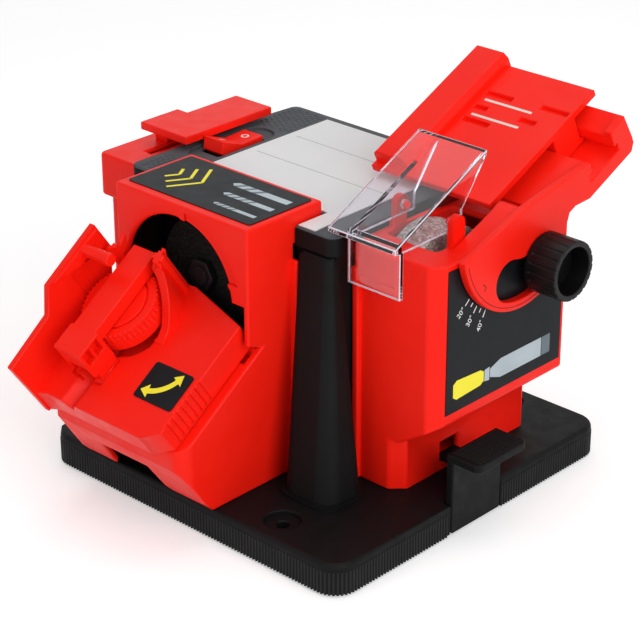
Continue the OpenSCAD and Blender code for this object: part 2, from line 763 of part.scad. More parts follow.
module chisel_housing() {
    color([0.9, 0.15, 0.1]) difference() {
        union() {
            difference() {
                union() {
                    difference() {
                        translate([0, 0, waist_low]) linear_extrude(chisel_z - waist_low)
                            chisel_plan(dial_x);
                        waist_cut(0, 0);
                    }
                    translate([0, 0, bz]) linear_extrude(waist_z - bz) chisel_plan(waist_x);
                }
                difference() {
                    translate([0, 0, waist_low]) linear_extrude(chisel_z - waist_low - wall)
                        chisel_inner(dial_x);
                    waist_cut(wall, wall * 0.6);
                }
                translate([0, 0, bz + wall]) linear_extrude(waist_z) chisel_inner(waist_x);
                slab(arm_x0 - gap, shield_x1 + gap, wheel_slot_y, pivot_y + wall * 3,
                    chisel_z - wall * 2, far, wall);
            }
            ear(chisel_x0);
            ear_foot(chisel_x0);
            ear(shield_x1 + gap);
            ear_foot(shield_x1 + gap);
            cheek();
            rod_x(dial_x - cheek_t, dial_x, stud_d * 1.1, stud_y, stud_z);
            box([chisel_x0, chisel_y0 - flange_d, bz],
                [chisel_x0 + flange_w, chisel_y0 + eps, skirt_z - wall * 2]);
        }
        rod_x(chisel_x0 - eps, chisel_x0 + wall * 2, shaft_r + wall, shaft_y, shaft_z);
        for (x = [chisel_x0, shield_x1 + gap])
            rod_x(x - eps, x + ear_t + eps, shield_pin_d / 2, pin_y, shield_z);
        rod_x(dial_x - cheek_t - eps, far, pin_r, pivot_y, pivot_z);
        rod_x(dial_x - cheek_t - eps, far, stud_d / 2, stud_y, stud_z);
        box([waist_x - wall * 2, nose_y0 - gap, nose_z - gap],
            [waist_x + eps, nose_y1 + gap, nose_z + nose_t + wall * 2]);
        box([skirt_x0, chisel_y0 - eps, chisel_z - skirt_h * 0.7],
            [shield_x1 - wall * 3, chisel_y0 + wall * 0.6, chisel_z - wall * 0.8]);
    }
}

module dial_sticker() {
    color([0.16, 0.17, 0.18]) along_x(dial_x, dial_x + sticker_t) difference() {
        translate([chisel_y0 + edge + wall / 4, waist_z + wall * 1.8])
            square([chisel_l - edge * 1.5 - wall, chisel_z - waist_z - wall * 2.6]);
        translate([stud_y, stud_z]) circle(stud_d / 2 + gap);
    }
}

module arm_pivot_pin() {
    color([0.72, 0.73, 0.75]) rod_x(dial_x - cheek_t, disc_x0 + disc_t * 0.5, pin_r, pivot_y, pivot_z);
}

module clamp_stud() {
    color([0.72, 0.73, 0.75]) rod_x(dial_x - cheek_t, knob_x0 + knob_l * 0.38, stud_d / 2, stud_y, stud_z);
}

module shield_pins() {
    color([0.9, 0.15, 0.1]) {
        rod_x(chisel_x0, arm_x0 + shield_t + wall / 2, shield_pin_d / 2, pin_y, shield_z);
        rod_x(shield_x1 - shield_t - wall / 2, shield_x1 + gap + ear_t, shield_pin_d / 2, pin_y, shield_z);
    }
}

module knife_housing() {
    low_z = knife_z - knife_h;
    color([0.9, 0.15, 0.1]) difference() {
        union() {
            slab(knife_x0, knife_x1, knife_y0, knife_y1, low_z, knife_z, wall);
            slab(knife_low_x, knife_x1, knife_y0 + wall, knife_y1 - wall, bz, low_z + wall, wall);
        }
        slab(knife_x0 + wall, knife_x1 - wall, knife_y0 + wall, knife_y1 - wall,
            low_z + wall, knife_z - wall, wall / 2);
        slab(knife_low_x + wall, knife_x1 - wall, knife_y0 + wall * 2, knife_y1 - wall * 2,
            bz + wall, low_z + wall * 2, wall / 2);
        rod_x(knife_x1 - wall * 2, far, shaft_r + wall, shaft_y, shaft_z);
        box([knife_wx - slit, shaft_y - knife_l * 0.3, knife_z - wall * 2],
            [knife_wx + slit, shaft_y + knife_l * 0.3, far]);
        box([knife_wx + knife_wheel_w - slit, shaft_y - knife_l * 0.3, knife_z - wall * 2],
            [knife_wx + knife_wheel_w + slit, shaft_y + knife_l * 0.3, far]);
    }
}

// T-shaped blade guide on posts over the knife slits
module knife_guide() {
    y0 = shaft_y - knife_l * 0.23;
    y1 = shaft_y + knife_l * 0.08;
    y2 = shaft_y + knife_l * 0.5;
    color([0.9, 0.15, 0.1]) {
        translate([0, 0, guide_z - guide_t]) linear_extrude(guide_t) {
            translate([guide_x0, y0]) square([guide_x1 - guide_x0, y1 - y0]);
            translate([knife_wx - slit * 2, y1 - eps]) square([guide_x1 - knife_wx + slit * 2, y2 - y1]);
        }
        box([guide_x0, y0 + wall * 3, knife_z], [knife_wx - slit - gap, y1 - wall, guide_z - eps]);
        box([knife_wx + slit + gap, y1, knife_z],
            [knife_wx + knife_wheel_w - slit - gap, y2 - wall * 3, guide_z - eps]);
    }
}

module motor_shaft() {
    color([0.75, 0.76, 0.78])
        rod_x(knife_wx - flange_t - nut_l * 0.8, wheel_x1 + flange_t + nut_l, shaft_r, shaft_y, shaft_z);
}

module rotor() { color([0.5, 0.42, 0.36]) wheel_x(stator_x0, stator_x1, rotor_d / 2, shaft_r); }

module fan() {
    color([0.85, 0.85, 0.82]) {
        wheel_x(fan_x, fan_x + fan_w, shaft_r + wall, shaft_r);
        for (i = [0:7]) translate([fan_x + fan_w * 0.1, shaft_y, shaft_z]) rotate([i * 45 + 20, 0, 0])
            translate([0, -wall / 4, shaft_r + wall / 2])
                cube([fan_w * 0.8, wall / 2, rotor_d * 0.62 - shaft_r]);
    }
}

// Pitch cone of a bevel gear, the teeth cut inward as grooves
module bevel(r, bore) {
    teeth = 16;
    difference() {
        cylinder(h = bev_w, r1 = r - fit * 6, r2 = r - bev_w - fit * 6);
        translate([0, 0, -eps]) cylinder(h = far, r = bore);
        for (i = [0:teeth - 1]) rotate([0, 0, i * 360 / teeth])
            translate([r, 0, 0]) rotate([0, -45, 0])
                translate([-bev_w * 0.18, -bev_w * 0.14, -bev_w]) cube([bev_w, bev_w * 0.28, bev_w * 4]);
    }
}

module drive_bevel() {
    color([0.6, 0.61, 0.63]) translate([spindle_x + bev_r, shaft_y, shaft_z])
        rotate([0, -90, 0]) bevel(bev_r, shaft_r);
}

module driven_bevel() {
    color([0.6, 0.61, 0.63]) translate([spindle_x, shaft_y - bev_r, shaft_z])
        rotate([-90, 0, 0]) bevel(bev_r, shaft_r * 0.6);
}

module chisel_wheel() {
    color([0.62, 0.6, 0.56]) wheel_x(wheel_x0, wheel_x1, chisel_wheel_d / 2, shaft_r);
}

module hex_x(x0, l) {
    translate([x0, shaft_y, shaft_z]) rotate([0, 90, 0]) cylinder(h = l, r = nut_r, $fn = 6);
}

module chisel_nut() {
    color([0.7, 0.71, 0.72]) difference() {
        union() {
            rod_x(wheel_x1, wheel_x1 + flange_t, flange_r, shaft_y, shaft_z);
            hex_x(wheel_x1 + flange_t, nut_l * 0.8);
        }
        rod_x(wheel_x1 - eps, far, shaft_r, shaft_y, shaft_z);
    }
}

module knife_wheel() {
    color([0.7, 0.68, 0.64]) wheel_x(knife_wx, knife_wx + knife_wheel_w, knife_wheel_d / 2, shaft_r);
}

module knife_nut() {
    color([0.7, 0.71, 0.72]) difference() {
        union() {
            rod_x(knife_wx - flange_t, knife_wx, flange_r, shaft_y, shaft_z);
            hex_x(knife_wx - flange_t - nut_l * 0.8, nut_l * 0.8);
        }
        rod_x(-far, knife_wx + eps, shaft_r, shaft_y, shaft_z);
    }
}

module drill_spindle() {
    color([0.75, 0.76, 0.78]) {
        rod_y(wheel_y0 - wall * 1.6, case_y0 + wall * 6.4, shaft_r, spindle_x, shaft_z);
        rod_y(case_y0 + wall * 6.3, shaft_y - bev_r + bev_w * 0.8, shaft_r * 0.6, spindle_x, shaft_z);
    }
}

module drill_wheel() {
    color([0.66, 0.65, 0.62]) wheel_y(wheel_y0, wheel_y1, drill_wheel_d / 2, shaft_r);
}

module spindle_nut() {
    color([0.7, 0.71, 0.72]) difference() {
        translate([spindle_x, wheel_y0 - wall * 1.3, shaft_z]) rotate([-90, 0, 0])
            cylinder(h = wall * 1.3, r = nut_r, $fn = 6);
        rod_y(-far, wheel_y0 + eps, shaft_r, spindle_x, shaft_z);
    }
}

module tray_plan() {
    b1 = tray_up;
    polygon([[tray_x0, -tray_l + wall * 2], [tray_x0 + wall * 3, -tray_l + tray_up],
        [tray_x1 - wall * 3, -tray_l + tray_up], [tray_x1, -tray_l + tray_up + wall * 2],
        [tray_x1, 0], [swing_x + wall, b1], [tray_x0 + fin_t * 2, b1 - wall],
        [tray_x0 + fin_t, -tray_up], [tray_x0, -tray_up]]);
}

module fin_profile() {
    polygon([[-tray_l + wall * 2, -tray_t], [wall * 1.6, -tray_t], [wall * 1.6, wall * 11.4],
        [-tray_l * 0.41, wall * 11.1], [-tray_l * 0.53, wall * 7.4], [-tray_l + wall * 2, wall * 6.8]]);
}

module swing_holder() {
    color([0.9, 0.15, 0.1]) difference() {
        on_tray() difference() {
            union() {
                translate([0, 0, -tray_t]) linear_extrude(tray_t) tray_plan();
                along_x(tray_x0, tray_x0 + fin_t) fin_profile();
                fin_stay();
                gusset();
                cross_post(clamp_x + bridge_w / 2 + wall * 2.4, post_b0 + wall / 2);
                cross_post(clamp_x - bridge_w / 2 - wall * 1.6, post_b0 - wall);
            }
            translate([clamp_x, clamp_b, well_n]) cylinder(h = wall * 8.8 - well_n, r = well_r);
            bridge_recess();
            drill_groove();
            translate([swing_x, swing_b, -tray_t - eps]) cylinder(h = swing_in + eps, r = swing_d / 2 + fit);
            for (i = [0:7]) box([tray_x1 - wall * 0.35, -tray_l * 0.75 + i * wall * 1.1, -tray_t * 0.92],
                [tray_x1 + far, -tray_l * 0.75 + i * wall * 1.1 + wall * 0.5, far]);
        }
        swing_room();
    }
}

// Round bar out of the fin over the clamp wheel, and the thin web that stiffens it
module fin_stay() {
    rod_x(tray_x0 + fin_t / 2, clamp_x - wall * 0.6, wall, -wall * 2.1, wall * 10);
    along_x(tray_x0 + fin_t - eps, tray_x0 + fin_t + wall / 2)
        polygon([[-tray_l * 0.38, wall * 11], [-wall * 3.2, wall * 8.2], [wall * 1.2, wall * 7.2],
            [wall * 1.2, wall * 11]]);
}

// Narrow recess in the tray in front of and beside the foot of the bridge
module bridge_recess() {
    difference() {
        box([foot_x0 - wall * 0.4, box_b0 - wall * 0.4, -wall * 0.6], [foot_x1 + wall * 0.4, box_b1, wall]);
        box([foot_x0, box_b0, -wall], [foot_x1, far, wall * 2]);
    }
}

// Upright rear edge of the holder, clear of the housing and the wheel as it swings
module swing_room() {
    box([-far, wheel_y0 - swing_rise - gap, -far], [far, far, far]);
    box([-far, drill_y0 - swing_rise - gap * 2, -far], [tray_x0 + fin_t * 1.5, far, far]);
}

// Curved guard beside the clamp wheel, highest next to the bridge
module gusset() {
    top = bridge_n + bridge_t;
    intersection() {
        translate([clamp_x, clamp_b, -wall]) difference() {
            cylinder(h = top + wall, r = well_r + wall * 1.6);
            translate([0, 0, -eps]) cylinder(h = far, r = well_r);
        }
        along_x(clamp_x + bridge_w / 2 + wall, clamp_x + well_r + wall * 2)
            polygon([[clamp_b - wall * 2, -wall], [clamp_b + well_r + wall * 2, -wall],
                [clamp_b + well_r + wall * 2, top], [clamp_b + well_r - wall, top],
                [clamp_b, wall * 1.2], [clamp_b - wall * 2, wall / 4]]);
    }
}

// Post of cross section with a fin behind it
module cross_post(x, b) {
    top = bridge_n + bridge_t + wall * 1.6;
    box([x - wall, b - wall / 2, -wall], [x + wall, b + wall / 2, top]);
    box([x - wall / 2, b - wall, -wall], [x + wall / 2, b + wall, top]);
    along_x(x - wall * 0.4, x + wall * 0.4)
        polygon([[post_b0 - wall, -wall], [post_b0 - wall, top - wall * 1.4], [post_b0 + wall * 2.2, top],
            [post_b0 + wall * 1.3, top - wall * 1.8], [post_b0 + wall * 1.3, -wall]]);
}

module drill_groove() {
    translate([clamp_x, far / 2, 0]) rotate([90, 0, 0]) linear_extrude(far)
        polygon([[-groove, eps], [0, -groove * 1.1], [groove, eps]]);
    translate([clamp_x, clamp_b, well_n + eps]) rotate([90, 0, 0]) translate([0, 0, -well_r])
        linear_extrude(well_r * 2) polygon([[-wall * 0.7, 0], [0, -wall * 0.6], [wall * 0.7, 0]]);
}

module arrow_sticker() {
    w = wall * 7.8;
    color([0.16, 0.17, 0.18]) on_tray() translate([tray_x1 - wall - w, -tray_l * 0.66, 0])
        linear_extrude(sticker_t) rounded(0, w, 0, w * 0.8, wall / 2);
}

module clamp_bridge() {
    bx0 = clamp_x - bridge_w / 2;
    bx1 = clamp_x + bridge_w / 2;
    top = bridge_n + bridge_t;
    color([0.88, 0.14, 0.1]) on_tray() difference() {
        union() {
            box([bx0, box_b0, bridge_n], [bx1, post_b1, top]);
            box([foot_x0, box_b0, foot_n], [foot_x1, box_b1, top]);
            box([foot_x0 + wall * 0.2, box_b0 + wall * 0.7, 0], [foot_x1 - wall * 0.2, box_b1, top - wall]);
            box([bx0, post_b0, 0], [bx1, post_b1, top]);
        }
        box([clamp_x - groove * 1.3, -far, -eps], [clamp_x + groove * 1.3, far, groove * 2]);
        for (i = [0, 1]) box([bx1 - wall, box_b0 + wall * 0.6 + i * wall * 1.9, bridge_n - wall * 0.7],
            [far, box_b0 + wall * 2 + i * wall * 1.9, top - wall * 0.6]);
        translate([clamp_x, clamp_b, bridge_n - eps]) cylinder(h = bridge_t / 2, r = stem_r);
    }
}

module clamp_pin() {
    color([0.72, 0.73, 0.75]) on_tray() translate([clamp_x, clamp_b, wheel_n + gap])
        cylinder(h = bridge_n - wheel_n - gap + bridge_t / 2 - eps, r = stem_r);
}

module clamp_wheel() {
    knurls = 48;
    color([0.88, 0.14, 0.1]) on_tray() translate([clamp_x, clamp_b, wheel_n]) difference() {
        cylinder(h = clamp_t, r = clamp_r);
        translate([0, 0, -eps]) cylinder(h = far, r = stem_r + fit);
        translate([0, 0, clamp_t - wall * 0.4]) difference() {
            cylinder(h = far, r = clamp_r * 0.76);
            translate([0, 0, -eps]) cylinder(h = far * 2, r = clamp_r * 0.7);
        }
        for (i = [0:knurls - 1]) rotate([0, 0, i * 360 / knurls])
            translate([clamp_r, 0, clamp_t * 0.5]) cylinder(h = far, r = clamp_r * 0.04, $fn = 24);
    }
}

module drill_jaw() {
    color([0.55, 0.56, 0.58]) on_tray() difference() {
        box([clamp_x - jaw_w / 2, clamp_b - jaw_l / 2, jaw_n],
            [clamp_x + jaw_w / 2, clamp_b + jaw_l / 2, jaw_n + jaw_t]);
        translate([clamp_x, clamp_b, jaw_n]) rotate([90, 0, 0]) translate([0, 0, -jaw_l])
            linear_extrude(jaw_l * 2) polygon([[-groove / 2, -eps], [0, groove * 0.4], [groove / 2, -eps]]);
    }
}

module wedge(a0, a1, r) {
    polygon([[0, 0], for (i = [0:4]) [r * cos(a0 + (a1 - a0) * i / 4), r * sin(a0 + (a1 - a0) * i / 4)]]);
}

// Kidney slot round the tilt pivot, wide enough for the clamp stud over the dial
module kidney(a0, a1) {
    intersection() {
        difference() { circle(stud_r + slot_hw); circle(stud_r - slot_hw); }
        wedge(a0, a1, far);
    }
    for (a = [a0, a1]) rotate([0, 0, a]) translate([stud_r, 0]) circle(slot_hw - fit);
}

module arm_face() {
    difference() {
        union() {
            intersection() {
                circle(disc_r);
                polygon([[-far, wall * 3.5], [-disc_r, wall * 3.5], [wall, wall * 2],
                    [rail_u0, arm_v], [notch_u, notch_v], [disc_r * 0.5, -disc_r * 0.64],
                    [disc_r * 0.35, -far], [-far, -far]]);
            }
            polygon([[wall, wall * 2], [rail_u0 - gap, arm_v], [arm_u1, arm_v + wall * 1.3],
                [arm_u1 + wall * 0.6, arm_v0 + wall * 1.2], [arm_u1 - wall * 0.4, arm_v0],
                [block_u0, arm_v0], [notch_u + wall * 1.5, notch_v], [notch_u, notch_v], [0, -wall]]);
        }
        rail_space();
        kidney(stud_a - arm_tilt - 50, stud_a - arm_tilt + 6);
    }
}

// Room for the sliding rail: open at the top, undercut at the foot
module rail_space() {
    translate([rail_u0 - gap, rail_v - gap]) square([rail_w + gap * 2, far]);
    translate([rail_u0 - rail_out - gap, rail_v - gap])
        square([rail_w + rail_out * 2 + gap * 2, rail_t + gap * 2]);
}

module tilt_arm() {
    color([0.9, 0.15, 0.1]) on_arm() difference() {
        union() {
            along_x(disc_x0, disc_x1) arm_face();
            along_x(block_x0, disc_x1) difference() {
                polygon([[block_u0, arm_v0], [arm_u1 - wall * 0.4, arm_v0],
                    [arm_u1 + wall * 0.6, arm_v0 + wall * 2], [arm_u1, arm_v + wall * 1.3],
                    [rail_u1 + gap, arm_v], [block_u0, arm_v]]);
                rail_space();
            }
            box([shield_x1 - wall * 2, cheek_r + wall, arm_v - arm_t], [disc_x1, block_u0 + eps, arm_v]);
        }
        rod_x(disc_x0 - eps, disc_x0 + disc_t * 0.6, pin_r + fit, 0, 0);
    }
}

module chisel_carriage() {
    fence_x1 = plate_x0 + fence_w;
    color([0.9, 0.15, 0.1]) on_arm() difference() {
        union() {
            box([plate_x0, plate_u0, plate_v], [plate_x1, plate_u1, top_v]);
            translate([0, plate_u1 + wall * 0.6, 0]) rotate([90, 0, 0])
                linear_extrude(carriage_l - wall * 0.6)
                    polygon([[plate_x0, plate_v], [fence_x1, plate_v],
                        [fence_x1, top_v + fence_h * 0.5], [fence_x1 - fence_h * 0.4, top_v + fence_h],
                        [plate_x0 + fence_h * 0.3, top_v + fence_h],
                        [plate_x0, top_v + fence_h * 0.7]]);
            box([plate_x0 + wall, rail_u0, rail_v], [plate_x1, rail_u1, plate_v + eps]);
            box([plate_x0 + wall, rail_u0 - rail_out, rail_v],
                [plate_x1, rail_u1 + rail_out, rail_v + rail_t]);
        }
        carriage_slots();
        inlay_lines(top_v - sticker_t, far / 10);
    }
}

module carriage_slots() {
    l = wall * 5;
    for (p = [[fence_w + wall * 0.6, 0.74, 1], [fence_w + wall * 0.6, 0.51, 1],
        [fence_w + wall * 0.6, 0.62, 0.5], [carriage_w - wall * 5.6, 0.75, 1],
        [carriage_w - wall * 7.2, 0.62, 0.6]])
        translate([plate_x0 + p[0], carriage_l * p[1] + plate_u0, top_v - plate_t * 0.6])
            cube([l * p[2], wall * 0.9, far / 10]);
}

module inlay_lines(v0, h) {
    for (k = [0.565, 0.695]) translate([plate_x0 + fence_w + wall * 1.4, plate_u0 + carriage_l * k, v0])
        cube([wall * 9, wall * 0.45, h]);
}

module carriage_inlays() { color([0.96, 0.94, 0.9]) on_arm() inlay_lines(top_v - sticker_t, sticker_t); }

module clamp_knob() {
    flutes = 20;
    r = knob_d / 2;
    color([0.12, 0.12, 0.13]) translate([knob_x0, stud_y, stud_z]) rotate([0, 90, 0]) difference() {
        cylinder(h = knob_l, r = r);
        translate([0, 0, -eps]) cylinder(h = far, r = stud_d / 2 + fit);
        translate([0, 0, knob_l * 0.42]) cylinder(h = far, r = r * 0.8);
        for (i = [0:flutes - 1]) rotate([0, 0, i * 360 / flutes])
            translate([r * 1.02, 0, wall]) cylinder(h = far, r = r * 0.05);
    }
}

// Sloping roof, right cheek, left arm and front skirt in one clear moulding
module shield() {
    roof_y1 = shield_y0 + roof_l * cos(roof_a);
    roof_z1 = roof_z0 + roof_l * sin(roof_a);
    color([0.92, 0.94, 0.97, 0.35]) difference() {
        union() {
            along_x(shield_x0, shield_x1) polygon([[shield_y0, roof_z0], [shield_y0, roof_z0 + shield_t],
                [roof_y1, roof_z1 + shield_t], [roof_y1, roof_z1]]);
            for (x = [[shield_x1 - shield_t, shield_x1], [arm_x0, arm_x0 + shield_t]])
                along_x(x[0], x[1]) {
                    polygon([[shield_y0, roof_z0], [roof_y1, roof_z1 + eps],
                        [pin_y + ear_r * 1.6, shield_z + ear_r],
                        [pin_y + ear_r * 1.6, shield_z - ear_r],
                        [shield_y0 + wall, roof_z0 - shield_t / 4]]);
                    translate([pin_y, shield_z]) circle(ear_r);
                }
            box([skirt_x0, shield_y0 + wall, roof_z0 - skirt_h],
                [shield_x1, shield_y0 + wall + shield_t, roof_z0 + shield_t]);
        }
        rod_x(-far, far, shield_pin_d / 2 + fit, pin_y, shield_z);
    }
}

base_plate();
rubber_feet();
base_screws();
pedal_pin();
pedal_spring();
motor_housing();
top_cover();
rating_label();
cable_gland();
motor_can();
stator();
bracket_left();
bracket_right();
bearings();
capacitor();
spindle_bush();
switch_frame();
drill_housing();
drill_sticker();
swing_post();
chisel_housing();
dial_sticker();
arm_pivot_pin();
clamp_stud();
shield_pins();
knife_housing();
knife_guide();
release_pedal();
motor_shaft();
rotor();
fan();
drive_bevel();
chisel_wheel();
chisel_nut();
knife_wheel();
knife_nut();
drill_spindle();
driven_bevel();
drill_wheel();
spindle_nut();
switch_rocker();
swing_holder();
arrow_sticker();
clamp_bridge();
clamp_pin();
clamp_wheel();
drill_jaw();
tilt_arm();
chisel_carriage();
carriage_inlays();
clamp_knob();
shield();
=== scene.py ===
# %% [markdown]
# # Electric multipurpose sharpener
# A bench sharpener with three stations round one motor: drill bits at the front, chisels
# and plane irons on the right, knives on the left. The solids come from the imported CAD
# model, which is loaded as a fixed frame. This lesson gives them their looks: softened
# edges, moulded plastic, printed stickers, ribs and honeycomb grip, light and camera.

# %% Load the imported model
import json
import math
import bmesh
import bpy
from mathutils import Matrix, Vector, geometry


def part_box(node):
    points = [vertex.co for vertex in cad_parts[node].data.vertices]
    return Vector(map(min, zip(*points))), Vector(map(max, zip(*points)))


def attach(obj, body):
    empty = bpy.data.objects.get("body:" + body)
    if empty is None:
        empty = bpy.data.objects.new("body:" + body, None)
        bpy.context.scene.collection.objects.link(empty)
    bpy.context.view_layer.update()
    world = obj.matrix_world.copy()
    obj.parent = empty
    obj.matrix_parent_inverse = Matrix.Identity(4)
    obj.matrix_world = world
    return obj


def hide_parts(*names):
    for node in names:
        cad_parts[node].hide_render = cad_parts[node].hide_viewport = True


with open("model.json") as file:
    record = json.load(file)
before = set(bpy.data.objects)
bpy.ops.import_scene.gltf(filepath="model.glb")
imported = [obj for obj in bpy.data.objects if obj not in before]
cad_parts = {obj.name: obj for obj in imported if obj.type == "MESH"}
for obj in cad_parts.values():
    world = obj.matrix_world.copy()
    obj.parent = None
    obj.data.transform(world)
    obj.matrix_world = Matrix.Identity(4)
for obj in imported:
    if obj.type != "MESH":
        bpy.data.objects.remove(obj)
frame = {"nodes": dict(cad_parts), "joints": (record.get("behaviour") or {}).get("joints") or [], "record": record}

MM = 0.001
scene = bpy.context.scene
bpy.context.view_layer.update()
joint_at = {j["name"]: Vector(j["pos_m"]) for j in frame["joints"] if "pos_m" in j}
joint_axis = {j["name"]: Vector(j["axis"]).normalized() for j in frame["joints"]}
node_body = {n: b for b, ns in frame["record"]["behaviour"]["bodies"].items() for n in ns}

# %% [markdown]
# ## Camera
# The photograph was solved as a view of the square base, so the camera's place, lens and
# turn are known numbers. A long lens keeps the verticals nearly parallel.

# %% Camera at the photograph's view
view = bpy.data.cameras.new("photo_view")
view.sensor_width = 36
view.lens = 123.6
view.shift_x = -0.0102
view.shift_y = 0.0016
view.clip_start, view.clip_end = 0.02, 20
camera = bpy.data.objects.new("photo_view", view)
camera.location = (0.5423, -0.5790, 0.4407)
camera.rotation_euler = (math.radians(64.42), 0, math.radians(43.13))
scene.collection.objects.link(camera)
scene.camera = camera
scene.view_settings.view_transform = "Standard"
print("camera at", tuple(round(v, 3) for v in camera.location))

# %% [markdown]
# ## Floor, backdrop and light
# A product photograph stands on white paper under large soft boxes. The floor is plain and
# pale and keeps the shadow; a little glow, seen only by camera, mirror and glass rays, lifts
# it to paper white. The world does the same for the backdrop, so no extra light falls on
# the object. The strongest box stands on the right.

# %% Floor, world and soft boxes
PAPER = 0.9          # colour of the floor
PAPER_GLOW = 0.36    # lifts the floor to white where it is seen directly
ROOM_LIGHT = 0.42    # even light that the world gives the object
MIDDLE = (0, 0, 0.07)


def seen_directly(nodes, links):
    """1 for camera, glossy and transmission rays, 0 for the light that bounces."""
    path = nodes.new("ShaderNodeLightPath")
    last = path.outputs["Is Camera Ray"]
    for name in ("Is Glossy Ray", "Is Transmission Ray"):
        either = nodes.new("ShaderNodeMath")
        either.operation = "MAXIMUM"
        links.new(last, either.inputs[0])
        links.new(path.outputs[name], either.inputs[1])
        last = either.outputs[0]
    return last


def paper_floor():
    material = bpy.data.materials.new("paper_floor")
    material.use_nodes = True
    nodes, links = material.node_tree.nodes, material.node_tree.links
    paper = nodes["Principled BSDF"]
    paper.inputs["Base Color"].default_value = (PAPER, PAPER, PAPER, 1)
    paper.inputs["Roughness"].default_value = 0.9
    paper.inputs["Specular IOR Level"].default_value = 0.1
    glow = nodes.new("ShaderNodeEmission")
    glow.inputs["Color"].default_value = (1, 1, 1, 1)
    share = nodes.new("ShaderNodeMath")
    share.operation = "MULTIPLY"
    share.inputs[1].default_value = PAPER_GLOW
    links.new(seen_directly(nodes, links), share.inputs[0])
    links.new(share.outputs[0], glow.inputs["Strength"])
    both = nodes.new("ShaderNodeAddShader")
    links.new(paper.outputs[0], both.inputs[0])
    links.new(glow.outputs[0], both.inputs[1])
    links.new(both.outputs[0], nodes["Material Output"].inputs["Surface"])
    return material


def studio_world():
    world = bpy.data.worlds.new("studio")
    scene.world = world
    world.use_nodes = True
    nodes, links = world.node_tree.nodes, world.node_tree.links
    sky = nodes["Background"]
    sky.inputs["Color"].default_value = (1, 1, 1, 1)
    level = nodes.new("ShaderNodeMapRange")
    level.inputs["To Min"].default_value = ROOM_LIGHT
    level.inputs["To Max"].default_value = 1.0
    links.new(seen_directly(nodes, links), level.inputs["Value"])
    links.new(level.outputs["Result"], sky.inputs["Strength"])


def soft_box(name, place, target, size, watts):
    lamp = bpy.data.lights.new(name, "AREA")
    lamp.shape = "RECTANGLE"
    lamp.size, lamp.size_y = size
    lamp.energy = watts
    box = bpy.data.objects.new(name, lamp)
    box.location = place
    box.rotation_euler = (Vector(target) - Vector(place)).to_track_quat("-Z", "Y").to_euler()
    scene.collection.objects.link(box)


sheet = bpy.data.meshes.new("floor")
sheet.from_pydata([(-4, -4, 0), (4, -4, 0), (4, 4, 0), (-4, 4, 0)], [], [(0, 1, 2, 3)])
sheet.materials.append(paper_floor())
floor = bpy.data.objects.new("floor", sheet)
scene.collection.objects.link(floor)
studio_world()
soft_box("key_right", (1.0, -0.3, 0.6), MIDDLE, (0.8, 0.8), 6.4)
soft_box("fill_front", (0.1, -1.1, 0.5), MIDDLE, (0.9, 0.6), 2.0)
soft_box("top", (-0.1, 0.2, 1.25), MIDDLE, (1.0, 1.0), 4.0)

# %% [markdown]
# ## Shared surface effects
# Moulded plastic is never one flat colour: the tool leaves a fine spark-eroded grain, the
# gloss wanders, and the colour is a little deeper where the melt flowed slowly. One node
# group makes all three, and each plastic places it with its own values. Ground metal has
# fine lines instead of a grain, and grinding stones have coloured grits, so each of these
# gets a group of its own.

# %% Node groups for skin, brushed metal and grit
def socket(group, name, way, kind="NodeSocketFloat", value=None):
    made = group.interface.new_socket(name, in_out=way, socket_type=kind)
    if value is not None:
        made.default_value = value


def shader_step(tree, kind, wires=None, **settings):
    made = tree.nodes.new(kind)
    for key, value in settings.items():
        setattr(made, key, value)
    for key, value in (wires or {}).items():
        if isinstance(value, bpy.types.NodeSocket):
            tree.links.new(value, made.inputs[key])
        else:
            made.inputs[key].default_value = value
    return made


def blend_colours(tree, factor, first, second):
    made = shader_step(tree, "ShaderNodeMix", data_type="RGBA")
    tree.links.new(factor, made.inputs[0])
    tree.links.new(first, made.inputs[6])
    tree.links.new(second, made.inputs[7])
    return made.outputs[2]


def spread(tree, value, low, high, start=0.3, end=0.7):
    made = shader_step(tree, "ShaderNodeMapRange",
                       {"Value": value, "From Min": start, "From Max": end,
                        "To Min": low, "To Max": high})
    return made.outputs["Result"]


def new_surface_group(name, numbers):
    group = bpy.data.node_groups.new(name, "ShaderNodeTree")
    socket(group, "Colour", "INPUT", "NodeSocketColor", (0.8, 0.8, 0.8, 1))
    socket(group, "Tint", "INPUT", "NodeSocketColor", (0.7, 0.7, 0.7, 1))
    for label, value in numbers:
        socket(group, label, "INPUT", value=value)
    socket(group, "Colour", "OUTPUT", "NodeSocketColor")
    socket(group, "Roughness", "OUTPUT")
    socket(group, "Height", "OUTPUT")
    ends = group.nodes.new("NodeGroupInput"), group.nodes.new("NodeGroupOutput")
    place = group.nodes.new("ShaderNodeTexCoord").outputs["Object"]
    return group, *ends, place


def close_group(group, end, colour, roughness, height):
    for name, source in (("Colour", colour), ("Roughness", roughness), ("Height", height)):
        group.links.new(source, end.inputs[name])


def moulded_skin():
    group, start, end, place = new_surface_group("moulded_skin", (
        ("Grain size", 900.0), ("Smooth", 0.3), ("Dull", 0.45)))
    flow = shader_step(group, "ShaderNodeTexNoise",
                       {"Vector": place, "Scale": 22.0, "Detail": 3.0})
    gloss = shader_step(group, "ShaderNodeTexNoise",
                        {"Vector": place, "Scale": 160.0, "Detail": 4.0})
    grain = shader_step(group, "ShaderNodeTexNoise",
                        {"Vector": place, "Scale": start.outputs["Grain size"], "Detail": 2.0})
    colour = blend_colours(group, spread(group, flow.outputs[0], 0.0, 1.0),
                           start.outputs["Colour"], start.outputs["Tint"])
    rough = spread(group, gloss.outputs[0], start.outputs["Smooth"], start.outputs["Dull"])
    close_group(group, end, colour, rough, grain.outputs[0])
    return group


